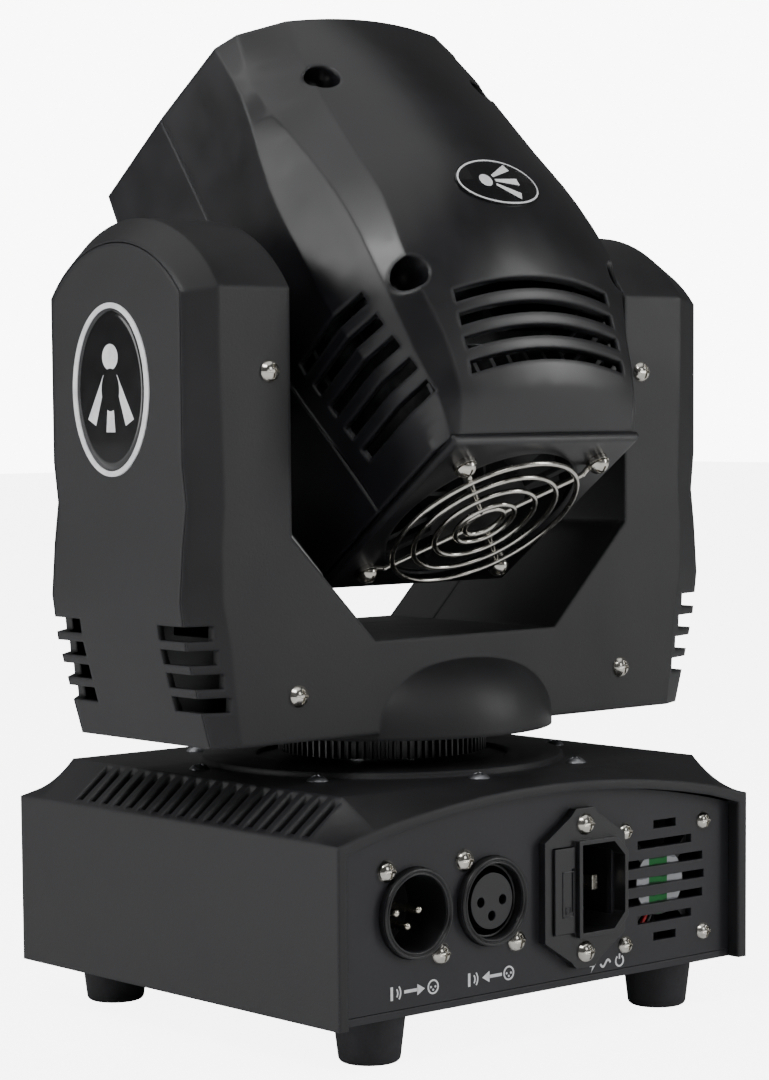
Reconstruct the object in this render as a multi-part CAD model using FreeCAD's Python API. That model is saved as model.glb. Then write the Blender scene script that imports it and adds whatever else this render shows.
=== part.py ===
"""Compact moving head spot light: a base with pan gear, a U-shaped yoke and a tilting head.

Millimetres. +Z is up, the origin is the middle of the ground plane under the four feet, on the pan
axis. The menu panel faces -Y, the connector panel faces +Y. The tilt axis runs along X. The head is
drawn upright in its own frame (x across, y towards its upper cover, z along the beam) and is then
turned back by HEAD_REST_TILT about the tilt axis.
"""
import FreeCAD, Part
import math
import os
from FreeCAD import Vector as V

# ---------------------------------------------------------------- driving dimensions
FIT = 0.3                 # gap between pieces of different bodies
RUN = 0.05                # radial clearance of a running shaft

FOOT_H = 12.75
FOOT_R_TOP = 9.75
FOOT_R_BOTTOM = 8.2
FOOT_X = 54.9
FOOT_Y = 56.7

BASE_W = 154.7            # across X
BASE_D = 142.0            # along Y
BASE_WALL = 3.2
SHOULDER_Z = 60.6         # where the side walls turn into the sloping shoulders
BASE_TOP_Z = 71.5
SHOULDER_RUN = 11.0       # how far the shoulder leans in
ARCH_RISE = 9.4           # crown of the arched front and rear edges above SHOULDER_Z
END_RUN = 11.0            # depth of the blend from the arch up to the top plate
PLATE_T = 2.0             # bottom plate and end panels
PANEL_INSET = 4.0
PANEL_OUT = BASE_D / 2 - PANEL_INSET            # outer face of both end panels
PANEL_IN = PANEL_OUT - PLATE_T
BOARD_Y = -PANEL_IN + 9.0                       # near face of the display board
RIG_BOSS_R = 9.0
RIG_THREAD_R = 4.25
RIG_BOSS_H = 14.0
TURNTABLE_R = 52.0
TURNTABLE_H = 1.6
TURNTABLE_WELL_R = 36.5
TOP_SCREWS = 8
TOP_SCREW_CIRCLE_R = 57.5
TOP_SCREW_START = 76.0
TOP_SCREW_HOLE_R = 1.7

SHOULDER_SLOTS = 18
SHOULDER_SLOT_W = 2.9
SHOULDER_SLOT_FIRST_Y = -45.0
SHOULDER_SLOT_LAST_Y = 55.0
SHOULDER_SLOT_LEAN = 2.6

CONNECTOR_Z = 39.9
XLR_IN_X = 48.0
XLR_OUT_X = 20.4
XLR_R = 12.1
XLR_BORE_R = 10.2
XLR_DEPTH = 15.0
XLR_PIN_CIRCLE_R = 4.0
XLR_PINS = [(1, 0), (-1, 0), (0, -1)]
XLR_SCREW_DX = 9.5
XLR_SCREW_DZ = 12.0
INLET_X = -13.1
INLET_W = 31.0
INLET_H = 27.6
INLET_SCREW_DZ = 17.75
INLET_CAVITY_X = -18.6
INLET_CAVITY_W = 16.6
INLET_CAVITY_H = 24.4
DRAWER_X = -4.4
DRAWER_W = 7.4
DRAWER_H = 23.6
FAN40_X = -47.35
FAN40_Z = 37.4
FAN40_SIZE = 40.0
FAN40_PITCH = 32.0
FAN40_T = 10.0
GRILLE_HALVES = (4.6, 11.0, 15.7, 16.3, 15.7, 11.0, 4.6)
GRILLE_PITCH = 5.33
GRILLE_SLOT_H = 2.4
GRILLE_LIFT = 0.8         # the pattern's middle above the fan's

SCREEN_W = 48.0
SCREEN_H = 22.0
SCREEN_Z = 41.0
SCREEN_X = -22.0
BUTTON_R = 4.0
BUTTON_X0 = 16.0
BUTTON_PITCH = 13.5
BUTTON_PROUD = 1.8
BUTTON_TRAVEL = 0.8

GEAR_MODULE = 0.7
GEAR_TEETH = 84
PINION_TEETH = 14
GEAR_Z0 = 74.2
GEAR_Z1 = 80.2
PAN_SHAFT_R = 12.0
PAN_BORE_R = 9.0
PAN_FLANGE_R = PAN_SHAFT_R + 5.0
PINION_Y = GEAR_MODULE * (GEAR_TEETH + PINION_TEETH) / 2
PINION_HOLE_R = 4.4
MOTOR_TOP = BASE_TOP_Z - BASE_WALL - FIT
MOTOR_SHAFT_R = 1.5
PAN_MOTOR_HALF = 17.5
PAN_MOTOR_H = 28.0

YOKE_Z0 = 83.5
YOKE_REAR = 36.5          # the connector side of the U, along Y
YOKE_FRONT = -34.5
YOKE_INNER = 63.0
YOKE_BAND_X = 86.5        # outer edge of the flat front and rear faces
YOKE_OUTER = 96.0
OUTER_REAR = 33.1         # the narrower flat face on the outside of each arm, along Y
OUTER_FRONT = -24.7
# Below the dome the outside of the arm has a waist, a hip and a tapered foot: z, the outer edge of the
# flat rear face and the outer face itself.
ARM_STATIONS = [
    (YOKE_Z0, 80.5, 88.0),
    (97.0, 82.3, 92.0),
    (110.0, 83.6, 95.6),
    (122.0, 86.2, 97.3),
    (136.0, 86.4, 96.2),
    (147.0, 85.4, 94.8),
    (158.0, 85.6, YOKE_OUTER),
    (186.0, YOKE_BAND_X, YOKE_OUTER),
]
CROSSBAR_TOP = 109.0
GUSSET_X = 34.0
GUSSET_TOP = 138.0
DOME_Z = 180.0
DOME_R = 42.5
DOME_R_OUTER = 36.2
YOKE_WALL = 2.2
SEAM_Y = -15.0
HUB_R = 49.0
HUB_TOP = 103.5
HUB_Z0 = 81.4
CORNER_SLOTS = 4
CORNER_SLOT_H = 4.0
CORNER_SLOT_PITCH = 6.3
CORNER_SLOT_Z = 93.0
CORNER_SLOT_DEPTH = 7.5   # into the outer face
CORNER_SLOT_REACH = 11.6  # from the edge of the outer face
PANEL_T = 2.0
YOKE_SCREWS = [(69.8, 181.7), (61.0, 95.8)]
YOKE_SCREW_R = 1.5
PULLEY_X = 74.0
PULLEY_W = 6.0
TILT_PULLEY_R = 19.0
TILT_PINION_R = 6.3
TILT_MOTOR_Z = 138.0
TILT_MOTOR_R = 17.5
BADGE_Y = 2.2
BADGE_Z = 177.2
BADGE_TALL = 22.9         # half height of the ring
BADGE_WIDE = 16.9
BADGE_BAND_TALL = 1.4     # width of the ring at its ends and at its sides
BADGE_BAND_WIDE = 1.9
BADGE_PROUD = 0.35

TILT_Z = 184.0
HEAD_REST_TILT = 36.4
HEAD_FRONT = 80.5         # beam-end of the covers from the tilt axis
HEAD_REAR = -56.0
OPTIC_Y = 9.1             # the beam axis lies this far above the tilt axis
HEAD_WALL = 2.2
TILT_SHAFT_R = 8.0
BEARING_R = TILT_SHAFT_R + 3.0
TILT_SHAFT_BORE = 5.0
TILT_HUB_R = 15.0
FRAME_HALF = 34.6
FAN60_SIZE = 60.0
FAN60_PITCH = 50.0
FAN60_T = 15.0
LENS_R = 21.0
BARREL_R = 25.0
WHEEL_R = 24.0
WHEEL_OFFSET = 18.0
WHEEL_T = 1.2
BELT_T = 1.4

# Stations along the beam: z, then half width at the parting line, the facet's lower and upper edges,
# the crown's edge and the ridge, each as (x, y) of the upper cover.
UPPER_STATIONS = [
    (HEAD_FRONT, 46.0, (45.0, 38.5), (41.0, 44.5), (28.0, 51.5), 55.0),
    (62.0, 46.0, (45.5, 40.0), (43.0, 43.5), (32.0, 54.0), 60.0),
    (32.0, 47.0, (47.5, 36.0), (43.0, 50.0), (35.0, 58.0), 66.0),
    (10.0, 46.5, (49.0, 37.0), (43.5, 54.0), (36.5, 61.5), 69.3),
    (-14.0, 45.5, (48.0, 37.0), (44.0, 54.5), (38.7, 60.5), 67.0),
    (-33.0, 41.0, (43.0, 37.0), (40.0, 50.0), (34.0, 56.5), 60.5),
    (-47.0, 37.5, (38.0, 36.0), (36.6, 47.0), (32.5, 51.5), 54.5),
    (HEAD_REAR, 36.0, (36.0, 36.0), (34.5, 42.5), (32.0, 43.8), 44.2),
]
# The same for the lower cover: z, half width, flank's lower edge, keel's edge and keel depth.
LOWER_STATIONS = [
    (HEAD_FRONT, 46.0, (45.0, -25.0), (34.0, -38.0), -42.0),
    (62.0, 46.0, (45.5, -26.0), (34.0, -40.0), -44.0),
    (10.0, 46.5, (46.5, -26.0), (36.0, -42.0), -46.0),
    (-14.0, 45.5, (44.0, -26.0), (35.0, -39.0), -43.0),
    (-33.0, 41.0, (39.5, -24.0), (33.0, -33.0), -36.0),
    (HEAD_REAR, 36.0, (35.5, -21.0), (32.0, -25.6), -26.0),
]
CROWN_STEPS = 8           # facets from the crown's edge to its ridge
STATION_STEPS = 3
SEAM_GAP = 0.3            # parting line between the covers
COVER_SCREWS = [(29.7, 56.2), (38.2, -14.9)]
COVER_SCREW_FLOOR = 49.0
COVER_SCREW_WELL_R = 4.6
COVER_SCREW_HOLE_R = 1.7
LOWER_SCREWS = [(26.0, 58.0), (26.0, -10.0)]
VENT_STATIONS = [(-25.2, 62.3), (-31.4, 60.3), (-37.6, 58.1), (-43.9, 55.8)]
VENT_HALF = 28.4
VENT_W = 3.4
VENT_BOW = 2.2
SIDE_VENTS = 5
SIDE_VENT_Z0 = -44.5
SIDE_VENT_PITCH = 7.2
SIDE_VENT_H = 3.8
LOWER_VENTS = 4
LOWER_VENT_Z0 = -36.0
LOWER_VENT_PITCH = 7.0
LOWER_VENT_HALF = 24.0
LOWER_VENT_W = 3.2

FRAME_Z0 = -58.6
FRAME_LIP = 1.4
GUARD_WIRE_R = 0.75
GUARD_Z = -61.4
GUARD_RINGS = (9.0, 15.3, 21.6, 28.0)
GUARD_HUB_R = 6.0
GUARD_WIRE_LIFT = 0.62    # the cross wires lie this far above the rings' middle plane
GUARD_KNEE_X = 30.2
GUARD_EYE_T = 1.44
GUARD_EYE_R = 3.2
GUARD_EYE_HOLE_R = 1.8
BEZEL_Z = 74.0
BEZEL_T = 2.4
BEZEL_SCREWS = [(36.0, 34.0), (-36.0, 34.0), (36.0, -18.0), (-36.0, -18.0)]
BARREL_Z0 = 40.0
BARREL_Z1 = 77.5
BRACKET_Z = 14.0
BRACKET_T = 1.6
BRACKET_HALF = 38.5
WHEEL_MOTOR_H = 13.0
GOBO_Z = 24.6
COLOUR_Z = 21.8
WHEEL_SHAFT_R = 1.5
WHEEL_SHAFT_Z0 = 7.2
LAMP_Z = -17.0            # face of the heat sink that carries the lamp board
COLLAR_X = 49.2
PIVOT_GAP = 1.2           # from the hub discs to the arms

os.makedirs("parts", exist_ok=True)
nodes = {}


# ---------------------------------------------------------------- helpers
def box(x0, x1, y0, y1, z0, z1):
    return Part.makeBox(x1 - x0, y1 - y0, z1 - z0, V(x0, y0, z0))


def rod(centre, axis, r, length):
    """A round bar that starts at centre and runs along axis."""
    return Part.makeCylinder(r, length, V(*centre), V(*axis))


def tube(centre, axis, r_out, r_in, length):
    return rod(centre, axis, r_out, length).cut(rod(centre, axis, r_in, length))


def wire(points):
    return Part.makePolygon([V(*p) for p in points] + [V(*points[0])])


def prism(points, direction):
    """A solid made by sliding the flat outline along direction."""
    return Part.Face(wire(points)).extrude(V(*direction))


def fuse(shapes):
    first = shapes[0]
    if len(shapes) == 1:
        return first
    return first.multiFuse(shapes[1:]).removeSplitter()


def group(shapes):
    return Part.makeCompound(shapes)


def moved(shape, x=0.0, y=0.0, z=0.0):
    copy = shape.copy()
    copy.translate(V(x, y, z))
    return copy


def turned(shape, angle, axis=(0, 0, 1), centre=(0, 0, 0)):
    copy = shape.copy()
    copy.rotate(V(*centre), V(*axis), angle)
    return copy


def mirrored_x(shape):
    return shape.mirror(V(0, 0, 0), V(1, 0, 0))


def pan_screw(head_r, head_h, shank_r, shank_l):
    """A cross-head screw along +Z: the underside of its head lies on z = 0 and the shank points down."""
    ball_r = (head_r ** 2 + head_h ** 2) / (2 * head_h)
    head = Part.makeSphere(ball_r, V(0, 0, head_h - ball_r))
    head = head.common(Part.makeCylinder(head_r, head_h))
    cross = fuse([box(-head_r * 0.62, head_r * 0.62, -0.35, 0.35, head_h * 0.35, head_h + 1),
                  box(-0.35, 0.35, -head_r * 0.62, head_r * 0.62, head_h * 0.35, head_h + 1)])
    shank = rod((0, 0, -shank_l), (0, 0, 1), shank_r, shank_l + 0.05)
    return fuse([head.cut(cross), shank])


def aimed(shape, position, axis):
    """Turn a piece drawn along +Z onto axis, then put its origin at position."""
    copy = shape.copy()
    spin = FreeCAD.Rotation(V(0, 0, 1), V(*axis))
    copy.Placement = FreeCAD.Placement(V(*position), spin).multiply(copy.Placement)
    return copy


def gear(teeth, module, z0, z1, bore_r):
    """A spur gear with straight-flanked teeth, slim enough to keep backlash all the way round."""
    pitch_r = module * teeth / 2
    root_r = pitch_r - 1.25 * module
    tip_r = pitch_r + 0.85 * module
    step = 2 * math.pi / teeth
    outline = []
    for i in range(teeth):
        a = i * step
        for share, r in ((-0.27, root_r), (-0.11, tip_r), (0.11, tip_r), (0.27, root_r)):
            outline.append((r * math.cos(a + share * step), r * math.sin(a + share * step), z0))
    body = prism(outline, (0, 0, z1 - z0))
    return body.cut(rod((0, 0, z0 - 1), (0, 0, 1), bore_r, z1 - z0 + 2))


def fan_frame(size, thickness, pitch, screw_r):
    """An axial fan's frame, drawn flat: x and y across, air along +Z from z = 0."""
    bore_r = size / 2 - 1.4
    frame = box(-size / 2, size / 2, -size / 2, size / 2, 0, thickness)
    upright = frame.Edges
    corners = [e for e in upright if abs(e.Vertexes[0].Z - e.Vertexes[1].Z) > thickness / 2]
    frame = frame.makeFillet(size * 0.06, corners)
    frame = frame.cut(rod((0, 0, -1), (0, 0, 1), bore_r, thickness + 2))
    for sx in (-1, 1):
        for sy in (-1, 1):
            frame = frame.cut(rod((sx * pitch / 2, sy * pitch / 2, -1), (0, 0, 1), screw_r, thickness + 2))
    arms = [tube((0, 0, 0), (0, 0, 1), size * 0.24, 1.7, 1.6)]
    for k in range(4):
        strut = box(size * 0.2, bore_r + 0.4, -1.2, 1.2, 0, 1.6)
        arms.append(turned(strut, 45 + 90 * k))
    return fuse([frame] + arms)


def fan_rotor(size, thickness, blades):
    """The matching rotor: a hub cup with pitched blades and a stub shaft, same frame as fan_frame."""
    tip_r = size / 2 - 1.4 - 2 * FIT
    hub_r = size * 0.23
    z0 = 1.6 + FIT
    z1 = thickness - 0.6
    parts = [rod((0, 0, z0), (0, 0, 1), hub_r, z1 - z0), rod((0, 0, 0.2), (0, 0, 1), 1.6, z0)]
    for k in range(blades):
        blade = box(hub_r - 0.6, tip_r - 0.4, -0.6, 0.6, 0, (z1 - z0) * 1.15)
        blade = turned(blade, 38, (1, 0, 0), (0, 0, (z1 - z0) / 2))
        blade = moved(blade, z=z0 + 0.2)
        keep = tube((0, 0, z0), (0, 0, 1), tip_r, hub_r - 0.5, z1 - z0)
        parts.append(turned(blade, 360 / blades * k).common(keep))
    return fuse(parts)


# ---------------------------------------------------------------- base
def arch_outline(y, inset, z_floor, count=12):
    """The arched end of the base at depth y: upright sides, then a shallow arc over the top."""
    half = BASE_W / 2 - inset
    side_z = SHOULDER_Z - inset * 0.8
    points = [(-half, y, z_floor)]
    for i in range(count + 1):
        s = -1 + 2 * i / count
        points.append((s * half, y, side_z + ARCH_RISE * (1 - s * s)))
    points.append((half, y, z_floor))
    return points


def top_outline(y, inset, z_floor, count=12):
    """The same number of points around the middle of the base, with flat top and leaning shoulders."""
    half = BASE_W / 2 - inset
    top = BASE_TOP_Z - inset
    side_z = SHOULDER_Z - inset * 0.8
    flat = half - SHOULDER_RUN
    points = [(-half, y, z_floor), (-half, y, side_z)]
    for i in range(count - 1):
        points.append((-flat + 2 * flat * i / (count - 2), y, top))
    points += [(half, y, side_z), (half, y, z_floor)]
    return points


def base_block(inset, z_floor, reach):
    """Ruled solid through the arched ends and the flat-topped middle; reach lengthens both ends."""
    end = BASE_D / 2 + reach
    mid = BASE_D / 2 - END_RUN
    loops = [arch_outline(-end, inset, z_floor), top_outline(-mid, inset, z_floor),
             top_outline(mid, inset, z_floor), arch_outline(end, inset, z_floor)]
    return Part.makeLoft([wire(p) for p in loops], True, True)


def base_housing():
    shell = base_block(0, FOOT_H, 0).cut(base_block(BASE_WALL, FOOT_H - 1, 0.5))
    foot = (0, 0, BASE_TOP_Z - BASE_WALL)
    disc = tube(foot, (0, 0, 1), TURNTABLE_R, TURNTABLE_WELL_R, BASE_WALL + TURNTABLE_H)
    inner = tube(foot, (0, 0, 1), TURNTABLE_WELL_R + 0.1, PAN_FLANGE_R, BASE_WALL + 0.6)
    shell = fuse([shell, disc, inner])
    shell = shell.cut(rod((0, 0, BASE_TOP_Z - 9), (0, 0, 1), PAN_FLANGE_R, 20))
    shell = shell.cut(rod((0, -PINION_Y, BASE_TOP_Z - 9), (0, 0, 1), PINION_HOLE_R, 20))
    half = BASE_W / 2
    cutters = []
    for i in range(SHOULDER_SLOTS):
        step = (SHOULDER_SLOT_LAST_Y - SHOULDER_SLOT_FIRST_Y) / (SHOULDER_SLOTS - 1)
        y = SHOULDER_SLOT_FIRST_Y + step * i
        low = half - 1.4
        high = half - SHOULDER_RUN + 0.6
        for side in (-1, 1):
            loop = [(side * low, y, SHOULDER_Z - 0.6),
                    (side * low, y + SHOULDER_SLOT_W, SHOULDER_Z - 0.6),
                    (side * high, y + SHOULDER_SLOT_W + SHOULDER_SLOT_LEAN, SHOULDER_Z - 0.6),
                    (side * high, y + SHOULDER_SLOT_LEAN, SHOULDER_Z - 0.6)]
            cutters.append(prism(loop, (0, 0, 20)))
    shell = shell.cut(Part.makeCompound(cutters))
    for x, y in top_screw_places():
        shell = shell.cut(rod((x, y, BASE_TOP_Z - 8), (0, 0, 1), TOP_SCREW_HOLE_R, 12))
    return shell


def top_screw_places():
    angles = [math.radians(TOP_SCREW_START + 360 / TOP_SCREWS * k) for k in range(TOP_SCREWS)]
    return [(TOP_SCREW_CIRCLE_R * math.cos(a), TOP_SCREW_CIRCLE_R * math.sin(a)) for a in angles]


def bottom_plate():
    half_x = BASE_W / 2 - BASE_WALL - 0.2
    plate = box(-half_x, half_x, -PANEL_OUT, PANEL_OUT, FOOT_H, FOOT_H + PLATE_T)
    for sx in (-1, 1):
        for sy in (-1, 1):
            plate = plate.cut(rod((sx * FOOT_X, sy * FOOT_Y, 0), (0, 0, 1), 2.1, 30))
    plate = plate.cut(rod((0, 0, 0), (0, 0, 1), RIG_BOSS_R - 3, 30))
    for x in range(-30, 31, 12):
        for sy in (-1, 1):
            plate = plate.cut(box(x - 2, x + 2, sy * 32 - 9, sy * 32 + 9, 0, 30))
    return plate


def foot():
    cone = Part.makeCone(FOOT_R_BOTTOM, FOOT_R_TOP, FOOT_H)
    low = [e for e in cone.Edges if e.BoundBox.ZMax < 0.01]
    cone = cone.makeFillet(1.6, low)
    cone = cone.cut(rod((0, 0, -1), (0, 0, 1), 4.2, 6.0))
    return cone.cut(rod((0, 0, -1), (0, 0, 1), 2.1, FOOT_H + 2))


def foot_places():
    return [(sx * FOOT_X, sy * FOOT_Y) for sx in (-1, 1) for sy in (-1, 1)]


def end_panel(y_in, y_out):
    """A flat panel that fits the arched opening between y_in and y_out."""
    gap = BASE_WALL + 0.2
    outline = arch_outline(y_in, gap, FOOT_H + PLATE_T + 0.2)
    return prism(outline, (0, y_out - y_in, 0))


def grille_slots(cx, cz, y0, y1):
    """Seven level slots inside a circle: short, medium, three long, medium, short."""
    cutters = []
    for k, half in enumerate(GRILLE_HALVES):
        z = cz + GRILLE_LIFT + (k - 3) * GRILLE_PITCH
        cutters.append(box(cx - half, cx + half, y0, y1, z - GRILLE_SLOT_H / 2, z + GRILLE_SLOT_H / 2))
    return cutters


def xlr_screw_places(cx):
    return [(cx + XLR_SCREW_DX, CONNECTOR_Z + XLR_SCREW_DZ), (cx - XLR_SCREW_DX, CONNECTOR_Z - XLR_SCREW_DZ)]


def inlet_screw_places():
    return [(INLET_X, CONNECTOR_Z + s * INLET_SCREW_DZ) for s in (-1, 1)]


def fan40_screw_places():
    half = FAN40_PITCH / 2
    return [(FAN40_X + sx * half, FAN40_Z + sz * half) for sx in (-1, 1) for sz in (-1, 1)]


def rear_panel():
    panel = end_panel(PANEL_IN, PANEL_OUT)
    cutters = []
    for cx in (XLR_IN_X, XLR_OUT_X):
        cutters.append(rod((cx, PANEL_IN - 1, CONNECTOR_Z), (0, 1, 0), XLR_R + 0.15, 6))
        cutters += [rod((x, PANEL_IN - 1, z), (0, 1, 0), 1.6, 6) for x, z in xlr_screw_places(cx)]
    cutters.append(box(INLET_X - INLET_W / 2 + 2.6, INLET_X + INLET_W / 2 - 2.0, PANEL_IN - 1, PANEL_OUT + 1,
                       CONNECTOR_Z - INLET_H / 2 + 0.8, CONNECTOR_Z + INLET_H / 2 - 0.8))
    cutters += [rod((x, PANEL_IN - 1, z), (0, 1, 0), 1.6, 6)
                for x, z in inlet_screw_places() + fan40_screw_places()]
    cutters += grille_slots(FAN40_X, FAN40_Z, PANEL_IN - 1, PANEL_OUT + 1)
    return panel.cut(Part.makeCompound(cutters))


def xlr_shell(cx, lip):
    """Round connector barrel with its mounting flange behind the panel."""
    y0 = PANEL_IN - XLR_DEPTH
    y1 = PANEL_OUT + lip
    barrel = rod((cx, y0, CONNECTOR_Z), (0, 1, 0), XLR_R, y1 - y0)
    flange = box(cx - 13, cx + 13, PANEL_IN - 2.2, PANEL_IN, CONNECTOR_Z - 15.5, CONNECTOR_Z + 15.5)
    for x, z in xlr_screw_places(cx):
        flange = flange.cut(rod((x, PANEL_IN - 4, z), (0, 1, 0), 1.3, 6))
    body = fuse([barrel, flange])
    return body.cut(rod((cx, y0 + 3, CONNECTOR_Z), (0, 1, 0), XLR_BORE_R, y1 - y0))


def xlr_pin_places(cx):
    """Two contacts level with the centre and one at the bottom."""
    return [(cx + XLR_PIN_CIRCLE_R * dx, CONNECTOR_Z + XLR_PIN_CIRCLE_R * dz) for dx, dz in XLR_PINS]


def power_inlet():
    """Mains inlet with a fuse drawer beside it: flange with pointed ears, cavity and drawer slot."""
    z = CONNECTOR_Z
    half_w = INLET_W / 2
    half_h = INLET_H / 2
    ear_z = INLET_SCREW_DZ + 4.4
    loop = [(-half_w, -half_h), (-5.5, -ear_z + 2), (-3.5, -ear_z), (3.5, -ear_z), (5.5, -ear_z + 2),
            (half_w, -half_h), (half_w, half_h), (5.5, ear_z - 2), (3.5, ear_z), (-3.5, ear_z),
            (-5.5, ear_z - 2), (-half_w, half_h)]
    outline = [(INLET_X + x, PANEL_OUT, z + dz) for x, dz in loop]
    flange = prism(outline, (0, 2.6, 0))
    body = box(INLET_X - half_w + 2.8, INLET_X + half_w - 2.2, PANEL_OUT - 24, PANEL_OUT + 2.6,
               z - half_h + 1, z + half_h - 1)
    rim_x0 = INLET_CAVITY_X - INLET_CAVITY_W / 2
    rim_x1 = INLET_CAVITY_X + INLET_CAVITY_W / 2
    h = INLET_CAVITY_H / 2
    rim = cavity_outline(rim_x0 - 1.2, rim_x1 + 1.2, h + 1.2, PANEL_OUT + 2.0)
    rim = prism(rim, (0, 2.4, 0))
    shape = fuse([flange, body, rim])
    shape = shape.cut(prism(cavity_outline(rim_x0, rim_x1, h, PANEL_OUT - 14), (0, 30, 0)))
    gap = 0.25
    shape = shape.cut(box(DRAWER_X - DRAWER_W / 2 - gap, DRAWER_X + DRAWER_W / 2 + gap, PANEL_OUT - 22,
                          PANEL_OUT + 5, z - DRAWER_H / 2 - gap, z + DRAWER_H / 2 + gap))
    for x, sz in inlet_screw_places():
        shape = shape.cut(rod((x, PANEL_OUT - 4, sz), (0, 1, 0), 1.6, 12))
    return shape


def cavity_outline(x0, x1, h, y):
    """The inlet's outline: two corners at its earth side are cut off."""
    cut = 4.2
    z = CONNECTOR_Z
    return [(x1, y, z - h), (x1, y, z + h), (x0 + cut, y, z + h), (x0, y, z + h - cut),
            (x0, y, z - h + cut), (x0 + cut, y, z - h)]


def connector_pins():
    pins = []
    y_root = PANEL_OUT - 14.0
    for x, dz, tall in ((INLET_CAVITY_X + 3.2, -7.0, 4.0), (INLET_CAVITY_X + 3.2, 7.0, 4.0),
                        (INLET_CAVITY_X - 3.2, 0.0, 4.0)):
        z = CONNECTOR_Z + dz
        pins.append(box(x - 1.0, x + 1.0, y_root - 3, y_root + 11.5, z - tall / 2, z + tall / 2))
    for x, z in xlr_pin_places(XLR_IN_X):
        pins.append(rod((x, PANEL_IN - XLR_DEPTH - 4, z), (0, 1, 0), 1.2, XLR_DEPTH + 3))
        tip = Part.makeSphere(1.2, V(x, PANEL_IN - 1, z))
        pins[-1] = pins[-1].fuse(tip)
    return pins


def power_inlet_bored():
    """The inlet with its back wall pierced for the flat pins."""
    shape = power_inlet()
    for pin in connector_pins()[:3]:
        shape = shape.cut(pin)
    return shape


def xlr_output_insert():
    y0 = PANEL_IN - XLR_DEPTH + 3
    insert = rod((XLR_OUT_X, y0, CONNECTOR_Z), (0, 1, 0), 7.6, XLR_DEPTH - 0.5)
    for x, z in xlr_pin_places(XLR_OUT_X):
        insert = insert.cut(rod((x, y0 + 3, z), (0, 1, 0), 1.4, 20))
    return insert


def fuse_drawer():
    z = CONNECTOR_Z
    x0 = DRAWER_X - DRAWER_W / 2
    x1 = DRAWER_X + DRAWER_W / 2
    front = box(x0, x1, PANEL_OUT + 0.8, PANEL_OUT + 3.4, z - DRAWER_H / 2, z + DRAWER_H / 2)
    tray = box(x0 + 0.1, x1 - 0.1, PANEL_OUT - 20, PANEL_OUT + 1, z - DRAWER_H / 2 + 0.1,
               z + DRAWER_H / 2 - 0.1)
    body = fuse([front, tray])
    body = body.cut(box(x0 + 1.0, x1 + 1, PANEL_OUT - 17, PANEL_OUT - 9.5, z - 10.4, z + 10.4))
    body = body.cut(box(x0 - 1, x0 + 1.2, PANEL_OUT + 2.6, PANEL_OUT + 4, z - 6, z + 6))
    return body


def cartridge_fuse():
    y = PANEL_OUT - 13.3
    glass = rod((DRAWER_X + 0.5, y, CONNECTOR_Z - 10), (0, 0, 1), 2.3, 20)
    caps = [rod((DRAWER_X + 0.5, y, z0), (0, 0, 1), 2.6, 5) for z0 in (CONNECTOR_Z - 10, CONNECTOR_Z + 5)]
    return fuse([glass] + caps)


def screws_on(places, y_face, head_r, length):
    proto = pan_screw(head_r, head_r * 0.75, 1.25, length)
    return [aimed(proto, (x, y_face, z), (0, 1, 0)) for x, z in places]


def button_places():
    return [(BUTTON_X0 + BUTTON_PITCH * i, SCREEN_Z) for i in range(4)]


def front_panel():
    panel = end_panel(-PANEL_OUT, -PANEL_IN)
    window = box(SCREEN_X - SCREEN_W / 2, SCREEN_X + SCREEN_W / 2, -PANEL_OUT - 1, -PANEL_IN + 1,
                 SCREEN_Z - SCREEN_H / 2, SCREEN_Z + SCREEN_H / 2)
    panel = panel.cut(window)
    for x, z in button_places():
        panel = panel.cut(rod((x, -PANEL_OUT - 1, z), (0, 1, 0), BUTTON_R + FIT, 6))
    for x in (-66, 66):
        for z in (24, 54):
            panel = panel.cut(rod((x, -PANEL_OUT - 1, z), (0, 1, 0), 1.6, 6))
    return panel


def display_window():
    glass = box(SCREEN_X - SCREEN_W / 2 + 0.1, SCREEN_X + SCREEN_W / 2 - 0.1, -PANEL_OUT - 0.4, -PANEL_IN,
                SCREEN_Z - SCREEN_H / 2 + 0.1, SCREEN_Z + SCREEN_H / 2 - 0.1)
    lip = box(SCREEN_X - SCREEN_W / 2 - 2, SCREEN_X + SCREEN_W / 2 + 2, -PANEL_IN, -PANEL_IN + 1,
              SCREEN_Z - SCREEN_H / 2 - 2, SCREEN_Z + SCREEN_H / 2 + 2)
    return fuse([glass, lip])


def display_board():
    board = box(-52, 66, BOARD_Y, BOARD_Y + 1.6, 26, 56)
    digits = box(SCREEN_X - 20, SCREEN_X + 20, BOARD_Y - 6.5, BOARD_Y, SCREEN_Z - 7.5, SCREEN_Z + 7.5)
    parts = [board, digits]
    for x, z in button_places():
        parts.append(box(x - 3, x + 3, BOARD_Y - 2.4, BOARD_Y, z - 3, z + 3))
    return fuse(parts)


def menu_button(x, z):
    cap = rod((x, -PANEL_OUT - BUTTON_PROUD, z), (0, 1, 0), BUTTON_R, BUTTON_PROUD + PLATE_T + 0.4)
    edge = [e for e in cap.Edges if e.BoundBox.YMax < -PANEL_OUT - BUTTON_PROUD + 0.01]
    cap = cap.makeFillet(0.6, edge)
    collar = rod((x, -PANEL_IN + FIT, z), (0, 1, 0), BUTTON_R + 1.4, 1.0)
    y_stem = -PANEL_IN + FIT
    stem = rod((x, y_stem, z), (0, 1, 0), 1.6, BOARD_Y - 2.4 - BUTTON_TRAVEL - FIT - y_stem)
    return fuse([cap, collar, stem])


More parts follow.
